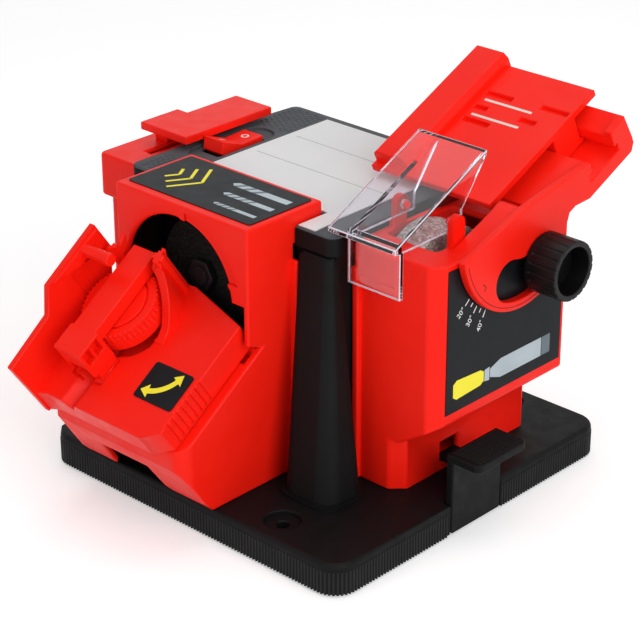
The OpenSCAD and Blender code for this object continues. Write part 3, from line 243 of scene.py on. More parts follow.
def brushed_metal():
    group, start, end, place = new_surface_group("brushed_metal", (
        ("Line length", 60.0), ("Smooth", 0.2), ("Dull", 0.42)))
    stretch = shader_step(group, "ShaderNodeCombineXYZ",
                          {"X": 2600.0, "Y": start.outputs["Line length"], "Z": 2600.0})
    lines_at = shader_step(group, "ShaderNodeVectorMath", {0: place, 1: stretch.outputs[0]},
                           operation="MULTIPLY")
    lines = shader_step(group, "ShaderNodeTexNoise",
                        {"Vector": lines_at.outputs[0], "Scale": 1.0, "Detail": 3.0})
    stain = shader_step(group, "ShaderNodeTexNoise",
                        {"Vector": place, "Scale": 90.0, "Detail": 5.0})
    colour = blend_colours(group, spread(group, stain.outputs[0], 0.0, 1.0),
                           start.outputs["Colour"], start.outputs["Tint"])
    rough = spread(group, lines.outputs[0], start.outputs["Smooth"], start.outputs["Dull"])
    close_group(group, end, colour, rough, lines.outputs[0])
    return group


def bonded_grit():
    group, start, end, place = new_surface_group("bonded_grit", (
        ("Grits per metre", 1500.0), ("Smooth", 0.75), ("Dull", 0.98)))
    cells = shader_step(group, "ShaderNodeTexVoronoi",
                        {"Vector": place, "Scale": start.outputs["Grits per metre"]})
    clumps = shader_step(group, "ShaderNodeTexNoise",
                         {"Vector": place, "Scale": 330.0, "Detail": 6.0, "Roughness": 0.7})
    speck = shader_step(group, "ShaderNodeSeparateColor", {0: cells.outputs["Color"]})
    mixed = shader_step(group, "ShaderNodeMath",
                        {0: speck.outputs[0], 1: clumps.outputs[0]}, operation="MULTIPLY")
    colour = blend_colours(group, spread(group, mixed.outputs[0], 0.0, 1.0, 0.08, 0.55),
                           start.outputs["Tint"], start.outputs["Colour"])
    rough = spread(group, clumps.outputs[0], start.outputs["Smooth"], start.outputs["Dull"])
    height = shader_step(group, "ShaderNodeMath",
                         {0: cells.outputs["Distance"], 1: clumps.outputs[0]}, operation="ADD")
    close_group(group, end, colour, rough, height.outputs[0])
    return group


SKIN, BRUSHED, GRIT = moulded_skin(), brushed_metal(), bonded_grit()
print("groups:", [g.name for g in bpy.data.node_groups])

# %% [markdown]
# ## Finishes
# Each finish is a Principled shader fed by one of the groups. Colours are written as they
# look on screen and turned to linear light here, so that they are easy to compare with the
# photograph. Whatever is the same all over a surface, such as Metallic or the specular
# level, is set on the shader itself.

# %% Finishes
def linear(red, green, blue):
    def one(v):
        v /= 255
        return v / 12.92 if v <= 0.04045 else ((v + 0.055) / 1.055) ** 2.4
    return one(red), one(green), one(blue), 1.0


def finish(name, group, colour, tint, numbers, bump, metallic=0.0, **sockets):
    """A material: one surface group into a Principled shader. bump is (strength, depth)."""
    material = bpy.data.materials.new(name)
    material.use_nodes = True
    tree = material.node_tree
    shader = tree.nodes["Principled BSDF"]
    surface = tree.nodes.new("ShaderNodeGroup")
    surface.node_tree = group
    surface.inputs["Colour"].default_value = linear(*colour)
    surface.inputs["Tint"].default_value = linear(*tint)
    for label, value in numbers.items():
        surface.inputs[label].default_value = value
    tree.links.new(surface.outputs["Colour"], shader.inputs["Base Color"])
    tree.links.new(surface.outputs["Roughness"], shader.inputs["Roughness"])
    relief = shader_step(tree, "ShaderNodeBump", {"Strength": bump[0], "Distance": bump[1],
                                                  "Height": surface.outputs["Height"]})
    tree.links.new(relief.outputs[0], shader.inputs["Normal"])
    shader.inputs["Metallic"].default_value = metallic
    for label, value in sockets.items():
        shader.inputs[label.replace("_", " ")].default_value = value
    return material


SATIN = {"Smooth": 0.32, "Dull": 0.45}
MATT = {"Smooth": 0.5, "Dull": 0.65}
RED = finish("red_moulding", SKIN, (253, 33, 17), (247, 27, 12), SATIN, (0.06, 0.0002),
             Specular_IOR_Level=0.16)
# Painted shade: dark red lines that stand in for the shadow in shallow grooves.
PAINTED_GROOVE_SHADE = finish("painted_groove_shade", SKIN, (140, 8, 5), (120, 6, 4), MATT, (0.05, 0.0002),
                  Specular_IOR_Level=0.2)
BLACK = finish("black_moulding", SKIN, (15, 15, 16), (11, 11, 12), MATT, (0.1, 0.0003),
               Specular_IOR_Level=0.12)
RIBBED = finish("ribbed_rim", SKIN, (30, 31, 33), (24, 25, 27), MATT, (0.1, 0.0003),
                Specular_IOR_Level=0.2)
KNOB = finish("black_knob", SKIN, (15, 15, 16), (11, 11, 12), SATIN, (0.08, 0.0002),
              Specular_IOR_Level=0.18)
# Painted shade: a dark dull red that stands in for the shadow inside the drill housing.
PAINTED_INSIDE_SHADE = finish("painted_inside_shade", SKIN, (22, 7, 6), (15, 5, 4), {"Smooth": 0.8, "Dull": 0.95},
                (0.05, 0.0002), Specular_IOR_Level=0.05)
GREY = finish("grey_cover", SKIN, (76, 79, 83), (69, 72, 76), MATT, (0.14, 0.0003),
              Specular_IOR_Level=0.2)
RUBBER = finish("foot_rubber", SKIN, (22, 22, 22), (16, 16, 16),
                {"Smooth": 0.75, "Dull": 0.9}, (0.15, 0.0003))
LABEL = finish("label_paper", SKIN, (230, 230, 230), (222, 223, 224), MATT, (0.03, 0.0001))
FILM = finish("sticker_film", SKIN, (21, 24, 27), (18, 20, 23),
              {"Smooth": 0.35, "Dull": 0.45}, (0.03, 0.0001), Specular_IOR_Level=0.1)
YELLOW = finish("yellow_print", SKIN, (250, 238, 52), (244, 228, 40), MATT, (0.02, 0.0001))
WHITE = finish("white_print", SKIN, (240, 240, 240), (230, 230, 232), MATT, (0.02, 0.0001))
SILVER = finish("silver_print", SKIN, (190, 202, 208), (150, 163, 170), MATT, (0.02, 0.0001))
SHADE = finish("shade_print", SKIN, (104, 118, 126), (84, 97, 105), MATT, (0.02, 0.0001))
RULE = finish("rule_print", SKIN, (150, 152, 155), (140, 142, 145), MATT, (0.02, 0.0001))
INLAY = finish("inlay_line", SKIN, (226, 222, 214), (206, 202, 194), MATT, (0.05, 0.0002))
NYLON = finish("white_nylon", SKIN, (222, 222, 214), (210, 210, 202), MATT, (0.06, 0.0002))
STEEL = finish("turned_steel", BRUSHED, (200, 202, 206), (176, 178, 182),
               {"Smooth": 0.18, "Dull": 0.34}, (0.1, 0.0001), 1.0)
BEARING = finish("bearing_steel", BRUSHED, (208, 210, 214), (190, 192, 197),
                 {"Smooth": 0.1, "Dull": 0.22}, (0.05, 0.0001), 1.0)
SHEET = finish("sheet_steel", BRUSHED, (172, 174, 178), (150, 152, 157),
               {"Smooth": 0.3, "Dull": 0.5}, (0.12, 0.0001), 1.0)
LAMINATION = finish("lamination_stack", BRUSHED, (128, 118, 108), (104, 96, 90),
                    {"Smooth": 0.4, "Dull": 0.62, "Line length": 2600.0}, (0.3, 0.0002), 1.0)
BRONZE = finish("sintered_bronze", BRUSHED, (196, 148, 84), (170, 124, 66),
                {"Smooth": 0.3, "Dull": 0.48}, (0.15, 0.0001), 1.0)
STONE = finish("grinding_stone", GRIT, (222, 212, 203), (140, 130, 124), {}, (0.55, 0.0006))
STONE_DARK = finish("fine_stone", GRIT, (160, 154, 148), (84, 80, 78), {}, (0.5, 0.0005))
# The drill wheel is a dark abrasive, and its colour is made darker still as painted shade of the deep drill mouth
# around it.
SHADED_RESIN_WHEEL = finish("resin_wheel_with_painted_shade", GRIT, (40, 38, 37), (17, 16, 16), {}, (0.5, 0.0005),
                     Specular_IOR_Level=0.1)
# Blackened steel for the drill spindle and its nut, made darker still as painted shade of the deep drill mouth.
SHADED_BLACKENED_STEEL = finish("blackened_steel_with_painted_shade", BRUSHED, (40, 40, 43), (26, 26, 29),
                   {"Smooth": 0.4, "Dull": 0.6}, (0.1, 0.0001), 0.6)
BLUE = finish("capacitor_sleeve", SKIN, (44, 60, 110), (36, 50, 96), SATIN, (0.04, 0.0002))
CLEAR = finish("clear_shield", SKIN, (250, 250, 255), (246, 246, 252),
               {"Smooth": 0.02, "Dull": 0.05}, (0.01, 0.0001),
               Transmission_Weight=1.0, IOR=1.46)
# Painted highlight: a milky copy of the clear finish for the shield's edges, standing in for the light that leaves
# them.
SHIELD_EDGE_HIGHLIGHT = finish("clear_shield_painted_edge_highlight", SKIN, (250, 246, 255), (240, 236, 248),
                    {"Smooth": 0.2, "Dull": 0.35}, (0.02, 0.0001),
                    Transmission_Weight=0.3, IOR=1.46)

FINISH_OF = {
    "base_plate": BLACK, "rubber_feet": RUBBER, "base_screws": STEEL, "pedal_pin": STEEL,
    "pedal_spring": STEEL, "motor_housing": BLACK, "top_cover": GREY, "rating_label": LABEL,
    "cable_gland": RUBBER, "motor_can": SHEET, "stator": LAMINATION, "bracket_left": SHEET,
    "bracket_right": SHEET, "bearings": BEARING, "capacitor": BLUE, "spindle_bush": BRONZE,
    "switch_frame": BLACK, "drill_housing": RED, "drill_sticker": FILM, "swing_post": STEEL,
    "chisel_housing": RED, "dial_sticker": FILM, "arm_pivot_pin": STEEL, "clamp_stud": STEEL,
    "shield_pins": RED, "knife_housing": RED, "knife_guide": RED, "release_pedal": BLACK,
    "motor_shaft": STEEL, "rotor": LAMINATION, "fan": NYLON, "drive_bevel": STEEL,
    "chisel_wheel": STONE, "chisel_nut": STEEL, "knife_wheel": STONE_DARK, "knife_nut": STEEL,
    "drill_spindle": SHADED_BLACKENED_STEEL, "driven_bevel": STEEL, "drill_wheel": SHADED_RESIN_WHEEL,
    "spindle_nut": SHADED_BLACKENED_STEEL, "switch_rocker": RED, "swing_holder": RED, "arrow_sticker": FILM,
    "clamp_bridge": RED, "clamp_pin": STEEL, "clamp_wheel": RED, "drill_jaw": SHEET,
    "tilt_arm": RED, "chisel_carriage": RED, "carriage_inlays": INLAY, "clamp_knob": KNOB,
    "shield": CLEAR}
for name, part in frame["nodes"].items():
    part.data.materials.clear()
    part.data.materials.append(FINISH_OF[name])
print("finishes:", len(bpy.data.materials), "on", len(FINISH_OF), "nodes")

# %% [markdown]
# ## Softened mouldings
# Real mouldings have no knife edges: each corner is rounded by a few tenths of a millimetre
# or more, and that thin curve is what catches the light. Most edges of the CAD solids are
# sharp, so each visible moulding, stone and steel part gets a twin: its triangles are merged
# into flat faces, its outer edges are rounded with a bevel, and the twin stands in for the
# node. An edge is left alone where the face beside it is too narrow to hold the curve. Where
# the outline of a face still crosses itself after the bevel, the twin is made again with the
# edges round that spot left sharp.

# %% Twin of a CAD node with rounded edges
MERGE = 0.002 * MM           # points closer than this are one point
FLAT = math.radians(0.4)     # faces that differ by less than this are one face
ROOM = 2.05                  # a face beside an edge is at least this many radii deep
TINY_FOLD = 0.02 * MM * MM   # a smaller fold doesn't show
TRIES, FIRST_REACH = 8, 1.5  # the sharp spots grow by one radius with each try
WIDE_STEPS = 5


def add_piece(name, mesh, body, material, slot, *stands_for):
    piece = bpy.data.objects.new(name, mesh)
    scene.collection.objects.link(piece)
    if material is not None:
        mesh.materials.clear()
        mesh.materials.append(material)
    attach(piece, body)
    if stands_for:
        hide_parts(*stands_for)
    return piece


def evaluated_mesh(piece):
    """The mesh of an object with its modifiers applied."""
    bpy.context.view_layer.update()
    graph = bpy.context.evaluated_depsgraph_get()
    return bpy.data.meshes.new_from_object(piece.evaluated_get(graph))


def merged_faces(node):
    made = bmesh.new()
    made.from_mesh(frame["nodes"][node].data)
    bmesh.ops.remove_doubles(made, verts=made.verts, dist=MERGE)
    bmesh.ops.dissolve_degenerate(made, edges=made.edges, dist=MERGE)
    bmesh.ops.dissolve_limit(made, angle_limit=FLAT, verts=made.verts, edges=made.edges,
                             delimit={"NORMAL"})
    return made


def has_room(edge, width):
    """True where both faces reach far enough back from the edge for the curve."""
    a, b = (v.co for v in edge.verts)
    along = (b - a).normalized()
    for face in edge.link_faces:
        reach = max(((v.co - a) - along * (v.co - a).dot(along)).length for v in face.verts)
        if reach < ROOM * width:
            return False
    return True


def near_any(edge, spots, width):
    """True where the edge comes within a spot's own number of widths."""
    a, b = (v.co for v in edge.verts)
    for spot, widths in spots:
        share = geometry.intersect_point_line(spot, a, b)[1]
        if (spot - a.lerp(b, min(max(share, 0.0), 1.0))).length < widths * width:
            return True
    return False


def round_edges(made, width, steps, spots=(), where=None, least=35):
    edges = [e for e in made.edges
             if len(e.link_faces) == 2 and e.is_convex
             and e.calc_face_angle(0) > math.radians(least)
             and has_room(e, width) and (where is None or where(e))
             and not near_any(e, spots, width)]
    if edges:
        bmesh.ops.bevel(made, geom=edges, offset=width, offset_type="OFFSET", segments=steps,
                        profile=0.5, affect="EDGES", clamp_overlap=False, loop_slide=True)
    return len(edges)


def folded_spots(made):
    """Points where the outline of a face crosses itself, so that part of it is turned over."""
    folded = {}
    made.normal_update()
    for corners in made.calc_loop_triangles():
        a, b, c = (corner.vert.co for corner in corners)
        turned = (b - a).cross(c - a)
        face = corners[0].face
        if turned.length > TINY_FOLD and turned.dot(face.normal) < 0:
            folded.setdefault(face, []).append((a + b + c) / 3)
    spots = []
    for face, centres in folded.items():
        turn = face.normal.to_track_quat("Z", "Y").inverted()
        points = [v.co for v in face.verts]
        flat = [(turn @ p).to_2d() for p in points]
        count, found = len(flat), []
        for i in range(count):
            for j in range(i + 2, count - (i == 0)):
                ends = flat[i], flat[(i + 1) % count], flat[j], flat[(j + 1) % count]
                cross = geometry.intersect_line_line_2d(*ends)
                if cross:
                    span = (ends[1] - ends[0]).length or 1.0
                    found.append(points[i].lerp(points[(i + 1) % count],
                                                (cross - ends[0]).length / span))
        spots += found or centres
    return spots


def rounded(node, width, steps, first=None, shape=None):
    """Rounds the edges, and leaves those sharp where a face is too narrow for the radius."""
    spots = []
    for attempt in range(TRIES):
        made = merged_faces(node)
        if shape:
            shape(made)
        if first:
            radius, where = first
            round_edges(made, radius * MM, WIDE_STEPS, spots, where)
        count = round_edges(made, width * MM, steps, spots)
        found = folded_spots(made)
        if not found:
            break
        spots += [(spot, FIRST_REACH + attempt) for spot in found]
    print("rounded", node, "edges", count, "tries", attempt + 1, "folds left", len(found))
    return made


def smooth_mesh(made, name, sharp=32):
    """bmesh to mesh: smooth shading that keeps flat faces flat and hard corners hard."""
    mesh = bpy.data.meshes.new(name)
    made.to_mesh(mesh)
    made.free()
    for face in mesh.polygons:
        face.use_smooth = True
    mesh.set_sharp_from_angle(angle=math.radians(sharp))
    host = bpy.data.objects.new(name + "_host", mesh)
    scene.collection.objects.link(host)
    level = host.modifiers.new("flat", "WEIGHTED_NORMAL")
    level.keep_sharp = True
    done = evaluated_mesh(host)
    bpy.data.objects.remove(host)
    done.name = name
    return done


def soften(node, width, slot, steps=3, first=None, shape=None):
    mesh = smooth_mesh(rounded(node, width, steps, first, shape), "soft_" + node)
    add_piece("soft_" + node, mesh, node_body[node], FINISH_OF[node], slot, node)
    return mesh


# %% [markdown]
# ### Red, black and grey mouldings
# The big housings have the roundest edges, small levers and guides finer ones. Some pieces
# have a rounder edge in one place: the upright corners of the pedal's pad, the rim of the
# cover, and further down the base and the drill station. Those edges are rounded first, with
# the larger radius. A rim is found by its distance from a rounded rectangle. The same measure
# finds the sides of the cover, which are as dark as the case below them.

# %% Soften the mouldings
def pad_corner(edge):
    a, b = (v.co for v in edge.verts)
    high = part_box("release_pedal")[1]
    upright = abs((b - a).normalized().z) > 0.9
    return upright and min(a.x, b.x) > high.x - 0.5 * MM


def rim_distance(point, low, high, radius):
    """Distance outside a rounded rectangle seen from above, negative inside it."""
    x = abs(point.x - (low.x + high.x) / 2) - (high.x - low.x) / 2 + radius
    y = abs(point.y - (low.y + high.y) / 2) - (high.y - low.y) / 2 + radius
    return math.hypot(max(x, 0), max(y, 0)) + min(max(x, y), 0) - radius


TOP_SLACK, SIDE_SLACK = 0.05 * MM, 0.1 * MM


def on_rim(edge, low, high, radius, inset=0.0):
    """True for an edge of the upper rim of a rounded plate."""
    return all(v.co.z > high.z - TOP_SLACK
               and rim_distance(v.co, low, high, radius) > -inset - SIDE_SLACK
               for v in edge.verts)


COVER_R = 4.42 * MM
COVER_SIDE = 1.2 * MM
cover_low, cover_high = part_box("top_cover")


def cover_rim(edge):
    return on_rim(edge, cover_low, cover_high, COVER_R)


for node, width in (("chisel_housing", 1.0), ("knife_housing", 1.2),
                    ("knife_guide", 0.5), ("swing_holder", 0.6), ("clamp_bridge", 0.5),
                    ("clamp_wheel", 0.4), ("tilt_arm", 0.5), ("chisel_carriage", 0.5),
                    ("switch_rocker", 0.4)):
    soften(node, width, "red_plastic")
for node, width in (("motor_housing", 1.2), ("clamp_knob", 0.5), ("switch_frame", 0.3)):
    soften(node, width, "black_plastic")
soften("release_pedal", 0.7, "black_plastic", first=(3.0, pad_corner))
cover_mesh = soften("top_cover", 0.3, "grey_plastic", 2, first=(1.6, cover_rim))
cover_mesh.materials.append(BLACK)
for face in cover_mesh.polygons:
    upright = abs(face.normal.z) < 0.5
    if upright and rim_distance(face.center, cover_low, cover_high, COVER_R) > -COVER_SIDE:
        face.material_index = 1
for node, slot, width in (("rubber_feet", "rubber_black", 0.4),
                          ("cable_gland", "rubber_black", 0.5),
                          ("chisel_wheel", "abrasive", 0.5), ("knife_wheel", "abrasive_dark", 0.4),
                          ("drill_wheel", "abrasive_dark", 0.4), ("drill_jaw", "steel", 0.3),
                          ("chisel_nut", "steel", 0.3), ("knife_nut", "steel", 0.3),
                          ("spindle_nut", "steel", 0.3), ("motor_shaft", "steel", 0.4),
                          ("clamp_stud", "steel", 0.4), ("arm_pivot_pin", "steel", 0.4),
                          ("shield_pins", "red_plastic", 0.2), ("drill_spindle", "steel", 0.4)):
    soften(node, width, slot, 2)

# %% [markdown]
# ### Inside of the drill station
# The round mouth of the drill station looks into a deep housing that little light reaches.
# The faces of the inner shell get painted shade: a dark, dull finish of their own that
# stands in for that shadow, and the outside stays red. They are found by their place under
# the sticker on the roof. The right front corner of the foot is rounder than the other edges.

# %% Drill housing with painted shade inside
FOOT_SIDE, FOOT_TOP, FOOT_DEPTH = 15.5 * MM, 62 * MM, 30 * MM


def front_corner(edge):
    """Edges of the drill housing's right side, low down where it leans back to the base."""
    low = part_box("drill_housing")[0]
    return all(v.co.x > FOOT_SIDE and v.co.z < FOOT_TOP
               and v.co.y < low.y + FOOT_DEPTH for v in edge.verts)


housing = soften("drill_housing", 1.0, "red_plastic", first=(6.5, front_corner))
# The inner shell gets the painted shade finish; the outside stays red.
housing.materials.append(PAINTED_INSIDE_SHADE)
low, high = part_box("drill_sticker")
MOUTH_FOOT, MOUTH_SIDE, LEDGE_TOP = 84 * MM, 10 * MM, 72 * MM
FRONT_WALL, MOUTH_LIP, ROOF, SPARE = 1.5 * MM, 1.7 * MM, 2 * MM, 0.4 * MM
inside = 0
for face in housing.polygons:
    c = face.center
    beside_mouth = c.z < LEDGE_TOP or c.x > MOUTH_SIDE and c.z < MOUTH_FOOT
    front = low.y + (FRONT_WALL if beside_mouth else -MOUTH_LIP)
    within = (low.x - SPARE < c.x < high.x + SPARE
              and front < c.y < high.y + SPARE and c.z < high.z - ROOF)
    if within:
        face.material_index = 1
        inside += 1
print("dark faces:", inside, "of", len(housing.polygons))

# %% [markdown]
# ## Clear shield
# Clear plastic shows mostly at its edges, where the light that travels inside the sheet
# comes out. The rounded edge faces get a milky version of the clear finish, a painted
# highlight that stands in for that light, so the outline reads against the red carriage
# behind it.

# %% Shield with bright edges
EDGE_FACE = 18 * MM * MM   # a smaller face is taken as part of an edge
shield_mesh = smooth_mesh(rounded("shield", 0.35, 2), "soft_shield")
add_piece("soft_shield", shield_mesh, "shield", CLEAR, "clear", "shield")
shield_mesh.materials.append(SHIELD_EDGE_HIGHLIGHT)
for face in shield_mesh.polygons:
    if face.area < EDGE_FACE:
        face.material_index = 1
print("shield faces:", len(shield_mesh.polygons))

# %% [markdown]
# ## Ribbed base
# The rim of the base carries fine upright ribs all the way round. They repeat along a path,
# which is what Geometry Nodes are for: a rounded square is sampled at the rib pitch, and a
# slim bar stands on each point. The wall behind the ribs is drawn in by as much as they
# stand out, so that the ribs end at the CAD outline. They start a little above the lower
# edge, and stop at the gap of the pedal and below the rounded top edge.

# %% Helpers to grow repeated shapes with Geometry Nodes
def new_tree(name, inputs):
    tree = bpy.data.node_groups.new(name, "GeometryNodeTree")
    for label, kind, value in inputs:
        socket(tree, label, "INPUT", "NodeSocket" + kind, value)
    socket(tree, "Geometry", "OUTPUT", "NodeSocketGeometry")
    tree.nodes.new("NodeGroupInput")
    return tree, tree.nodes["Group Input"].outputs


def close_tree(tree, instances, material):
    real = shader_step(tree, "GeometryNodeRealizeInstances", {"Geometry": instances})
    painted = shader_step(tree, "GeometryNodeSetMaterial",
                          {"Geometry": real.outputs[0], "Material": material})
    end = tree.nodes.new("NodeGroupOutput")
    tree.links.new(painted.outputs[0], end.inputs[0])


def grow(name, tree, values, body, slot, sharp=40, place=None):
    """Runs a tree once and keeps its result as a plain mesh on one body."""
    host = bpy.data.objects.new(name + "_host", bpy.data.meshes.new(name + "_host"))
    scene.collection.objects.link(host)
    run = host.modifiers.new("grow", "NODES")
    run.node_group = tree
    for item in tree.interface.items_tree:
        if item.in_out == "INPUT" and item.name in values:
            run[item.identifier] = values[item.name]
    mesh = evaluated_mesh(host)
    host.modifiers.remove(run)
    bpy.data.objects.remove(host)
    mesh.name = name
    if place is not None:
        mesh.transform(place)
    for face in mesh.polygons:
        face.use_smooth = True
    mesh.set_sharp_from_angle(angle=math.radians(sharp))
    print("grown", name, "faces", len(mesh.polygons))
    return add_piece(name, mesh, body, None, slot)


def math_step(tree, operation, *values):
    return shader_step(tree, "ShaderNodeMath", dict(enumerate(values)),
                       operation=operation).outputs[0]


# %% Base with its rim drawn in, and the ribs
RIB = 0.5 * MM              # radius of a rib
RIB_STAND = 0.28 * MM       # how far it stands out of the wall
RIB_FOOT = 0.9 * MM         # height of its lower end above the lower edge
RIB_SHARE = 0.7             # its length, as a share of the height of the base
PEDAL_GAP = 1.2 * MM        # room beside the pedal without ribs
BASE_R = 10 * MM
WALL_SLACK = 0.03 * MM
base_low, base_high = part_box("base_plate")
base_half = base_high.y


def draw_in_rim(made):
    """Moves the outer wall of the base inwards by as much as the ribs stand out."""
    inner = base_half - BASE_R
    for v in made.verts:
        if rim_distance(v.co, base_low, base_high, BASE_R) < -WALL_SLACK:
            continue
        way = Vector((max(abs(v.co.x) - inner, 0), max(abs(v.co.y) - inner, 0))).normalized()
        v.co.x -= math.copysign(way.x, v.co.x) * RIB_STAND
        v.co.y -= math.copysign(way.y, v.co.y) * RIB_STAND


def base_rim(edge):
    return on_rim(edge, base_low, base_high, BASE_R, RIB_STAND)


soften("base_plate", 0.6, "black_plastic", first=(2.0, base_rim), shape=draw_in_rim)

ribs, given = new_tree("rim_ribs", (
    ("Side", "Float", 0.16), ("Corner", "Float", 0.01), ("Pitch", "Float", 0.002),
    ("Rib radius", "Float", 0.0005), ("Rib height", "Float", 0.01), ("Foot", "Float", 0.001),
    ("Gap start", "Float", -0.015), ("Gap end", "Float", 0.015), ("Finish", "Material", None)))
side = math_step(ribs, "SUBTRACT", given["Side"],
                 math_step(ribs, "MULTIPLY", given["Rib radius"], 2.0))
square = shader_step(ribs, "GeometryNodeCurvePrimitiveQuadrilateral",
                     {"Width": side, "Height": side})
corner = math_step(ribs, "SUBTRACT", given["Corner"], given["Rib radius"])
path = shader_step(ribs, "GeometryNodeFilletCurve",
                   {"Curve": square.outputs[0], "Count": 8, "Radius": corner}, mode="POLY")
points = shader_step(ribs, "GeometryNodeResampleCurve",
                     {"Curve": path.outputs[0], "Length": given["Pitch"]}, mode="LENGTH")
where = shader_step(ribs, "ShaderNodeSeparateXYZ",
                    {0: ribs.nodes.new("GeometryNodeInputPosition").outputs[0]})
on_right = math_step(ribs, "GREATER_THAN", where.outputs["X"],
                     math_step(ribs, "MULTIPLY", given["Side"], 0.49))
in_gap = math_step(ribs, "MULTIPLY",
                   math_step(ribs, "GREATER_THAN", where.outputs["Y"], given["Gap start"]),
                   math_step(ribs, "LESS_THAN", where.outputs["Y"], given["Gap end"]))
keep = math_step(ribs, "SUBTRACT", 1.0, math_step(ribs, "MULTIPLY", on_right, in_gap))
bar = shader_step(ribs, "GeometryNodeMeshCylinder",
                  {"Vertices": 8, "Radius": given["Rib radius"], "Depth": given["Rib height"]})
rise = math_step(ribs, "ADD", given["Foot"],
                 math_step(ribs, "MULTIPLY", given["Rib height"], 0.5))
lift = shader_step(ribs, "ShaderNodeCombineXYZ", {"Z": rise})
stood = shader_step(ribs, "GeometryNodeTransform",
                    {"Geometry": bar.outputs["Mesh"], "Translation": lift.outputs[0]})
row = shader_step(ribs, "GeometryNodeInstanceOnPoints",
                  {"Points": points.outputs[0], "Selection": keep, "Instance": stood.outputs[0]})
close_tree(ribs, row.outputs[0], given["Finish"])
pedal_low, pedal_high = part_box("release_pedal")
grow("rim_ribs", ribs, {
    "Side": 2 * base_half, "Corner": BASE_R, "Pitch": 1.6 * MM, "Rib radius": RIB,
    "Rib height": (base_high.z - base_low.z) * RIB_SHARE, "Foot": base_low.z + RIB_FOOT,
    "Gap start": pedal_low.y - PEDAL_GAP, "Gap end": pedal_high.y + PEDAL_GAP,
    "Finish": RIBBED}, "frame", "black_plastic")

# %% [markdown]
# ## Ridged pedal pad
# A row of low half-round bars keeps a thumb or foot from slipping off the pad. The row is a
# line of points with one bar on each.

# %% Pad ridges
ridges, given = new_tree("pad_ridges", (
    ("Count", "Int", 10), ("Pitch", "Float", 0.0014), ("Length", "Float", 0.026),
    ("Bar radius", "Float", 0.0005), ("Start", "Vector", (0, 0, 0)),
    ("Finish", "Material", None)))
pace = shader_step(ridges, "ShaderNodeCombineXYZ", {"X": given["Pitch"]})
line = shader_step(ridges, "GeometryNodeMeshLine",
                   {"Count": given["Count"], "Start Location": given["Start"],
                    "Offset": pace.outputs[0]}, mode="OFFSET")
bar = shader_step(ridges, "GeometryNodeMeshCylinder",
                  {"Vertices": 10, "Radius": given["Bar radius"], "Depth": given["Length"]})
laid = shader_step(ridges, "GeometryNodeTransform",
                   {"Geometry": bar.outputs["Mesh"], "Rotation": (math.pi / 2, 0, 0)})
row = shader_step(ridges, "GeometryNodeInstanceOnPoints",
                  {"Points": line.outputs[0], "Instance": laid.outputs[0]})
close_tree(ridges, row.outputs[0], given["Finish"])
RIDGE_COUNT, RIDGE_PITCH = 10, 1.35 * MM
PAD_END, PAD_SIDE, RIDGE_SINK = 1.9 * MM, 1.7 * MM, 0.1 * MM
pad_middle_y = (pedal_low.y + pedal_high.y) / 2
grow("pad_ridges", ridges, {
    "Count": RIDGE_COUNT, "Pitch": RIDGE_PITCH,
    "Length": pedal_high.y - pedal_low.y - 2 * PAD_SIDE,
    "Bar radius": 0.5 * MM, "Finish": BLACK,
    "Start": (pedal_high.x - PAD_END - RIDGE_PITCH * (RIDGE_COUNT - 1), pad_middle_y,
              pedal_high.z - RIDGE_SINK)}, "pedal", "black_plastic")

# %% [markdown]
# ## Honeycomb grip on the cover
# The grey cover has two patches of small six-sided pads at its left corners. A grid of
# points, every second column shifted by half a step, carries one blunt six-sided cone each.

# %% Honeycomb patches
comb, given = new_tree("honeycomb", (
    ("Columns", "Int", 5), ("Rows", "Int", 5), ("Pitch", "Float", 0.004),
    ("Pad radius", "Float", 0.0019), ("Pad height", "Float", 0.0005),
    ("Middle", "Vector", (0, 0, 0)), ("Finish", "Material", None)))
across = math_step(comb, "MULTIPLY", given["Pitch"], math.sqrt(3) / 2)
wide = math_step(comb, "MULTIPLY", across, math_step(comb, "SUBTRACT", given["Columns"], 1.0))
deep = math_step(comb, "MULTIPLY", given["Pitch"],
                 math_step(comb, "SUBTRACT", given["Rows"], 1.0))
grid = shader_step(comb, "GeometryNodeMeshGrid",
                   {"Size X": wide, "Size Y": deep, "Vertices X": given["Columns"],
                    "Vertices Y": given["Rows"]})
spot = shader_step(comb, "ShaderNodeSeparateXYZ",
                   {0: comb.nodes.new("GeometryNodeInputPosition").outputs[0]})
column = math_step(comb, "ROUND", math_step(
    comb, "DIVIDE", math_step(comb, "ADD", spot.outputs["X"],
                              math_step(comb, "MULTIPLY", wide, 0.5)), across))
odd = math_step(comb, "MODULO", column, 2.0)
nudge = shader_step(comb, "ShaderNodeCombineXYZ", {
    "Y": math_step(comb, "MULTIPLY", math_step(comb, "SUBTRACT", odd, 0.5),
                   math_step(comb, "MULTIPLY", given["Pitch"], 0.5))})
move = shader_step(comb, "ShaderNodeVectorMath", {0: nudge.outputs[0], 1: given["Middle"]},
                   operation="ADD")
stagger = shader_step(comb, "GeometryNodeSetPosition",
                      {"Geometry": grid.outputs["Mesh"], "Offset": move.outputs[0]})
pad = shader_step(comb, "GeometryNodeMeshCone", {
    "Vertices": 6, "Radius Top": math_step(comb, "MULTIPLY", given["Pad radius"], 0.72),
    "Radius Bottom": given["Pad radius"], "Depth": given["Pad height"]})
row = shader_step(comb, "GeometryNodeInstanceOnPoints",
                  {"Points": stagger.outputs[0], "Instance": pad.outputs["Mesh"]})
close_tree(comb, row.outputs[0], given["Finish"])
for name, middle_x, middle_y, columns, rows in (("grip_back", 12.0, 81.0, 8, 9),
                                                ("grip_front", 11.0, 11.6, 7, 6)):
    grow(name, comb, {
        "Columns": columns, "Rows": rows, "Pitch": 2.7 * MM, "Pad radius": 1.3 * MM,
        "Pad height": 0.3 * MM, "Finish": GREY,
        "Middle": (cover_low.x + middle_x * MM, cover_low.y + middle_y * MM, cover_high.z)},
        "frame", "grey_plastic", sharp=20)

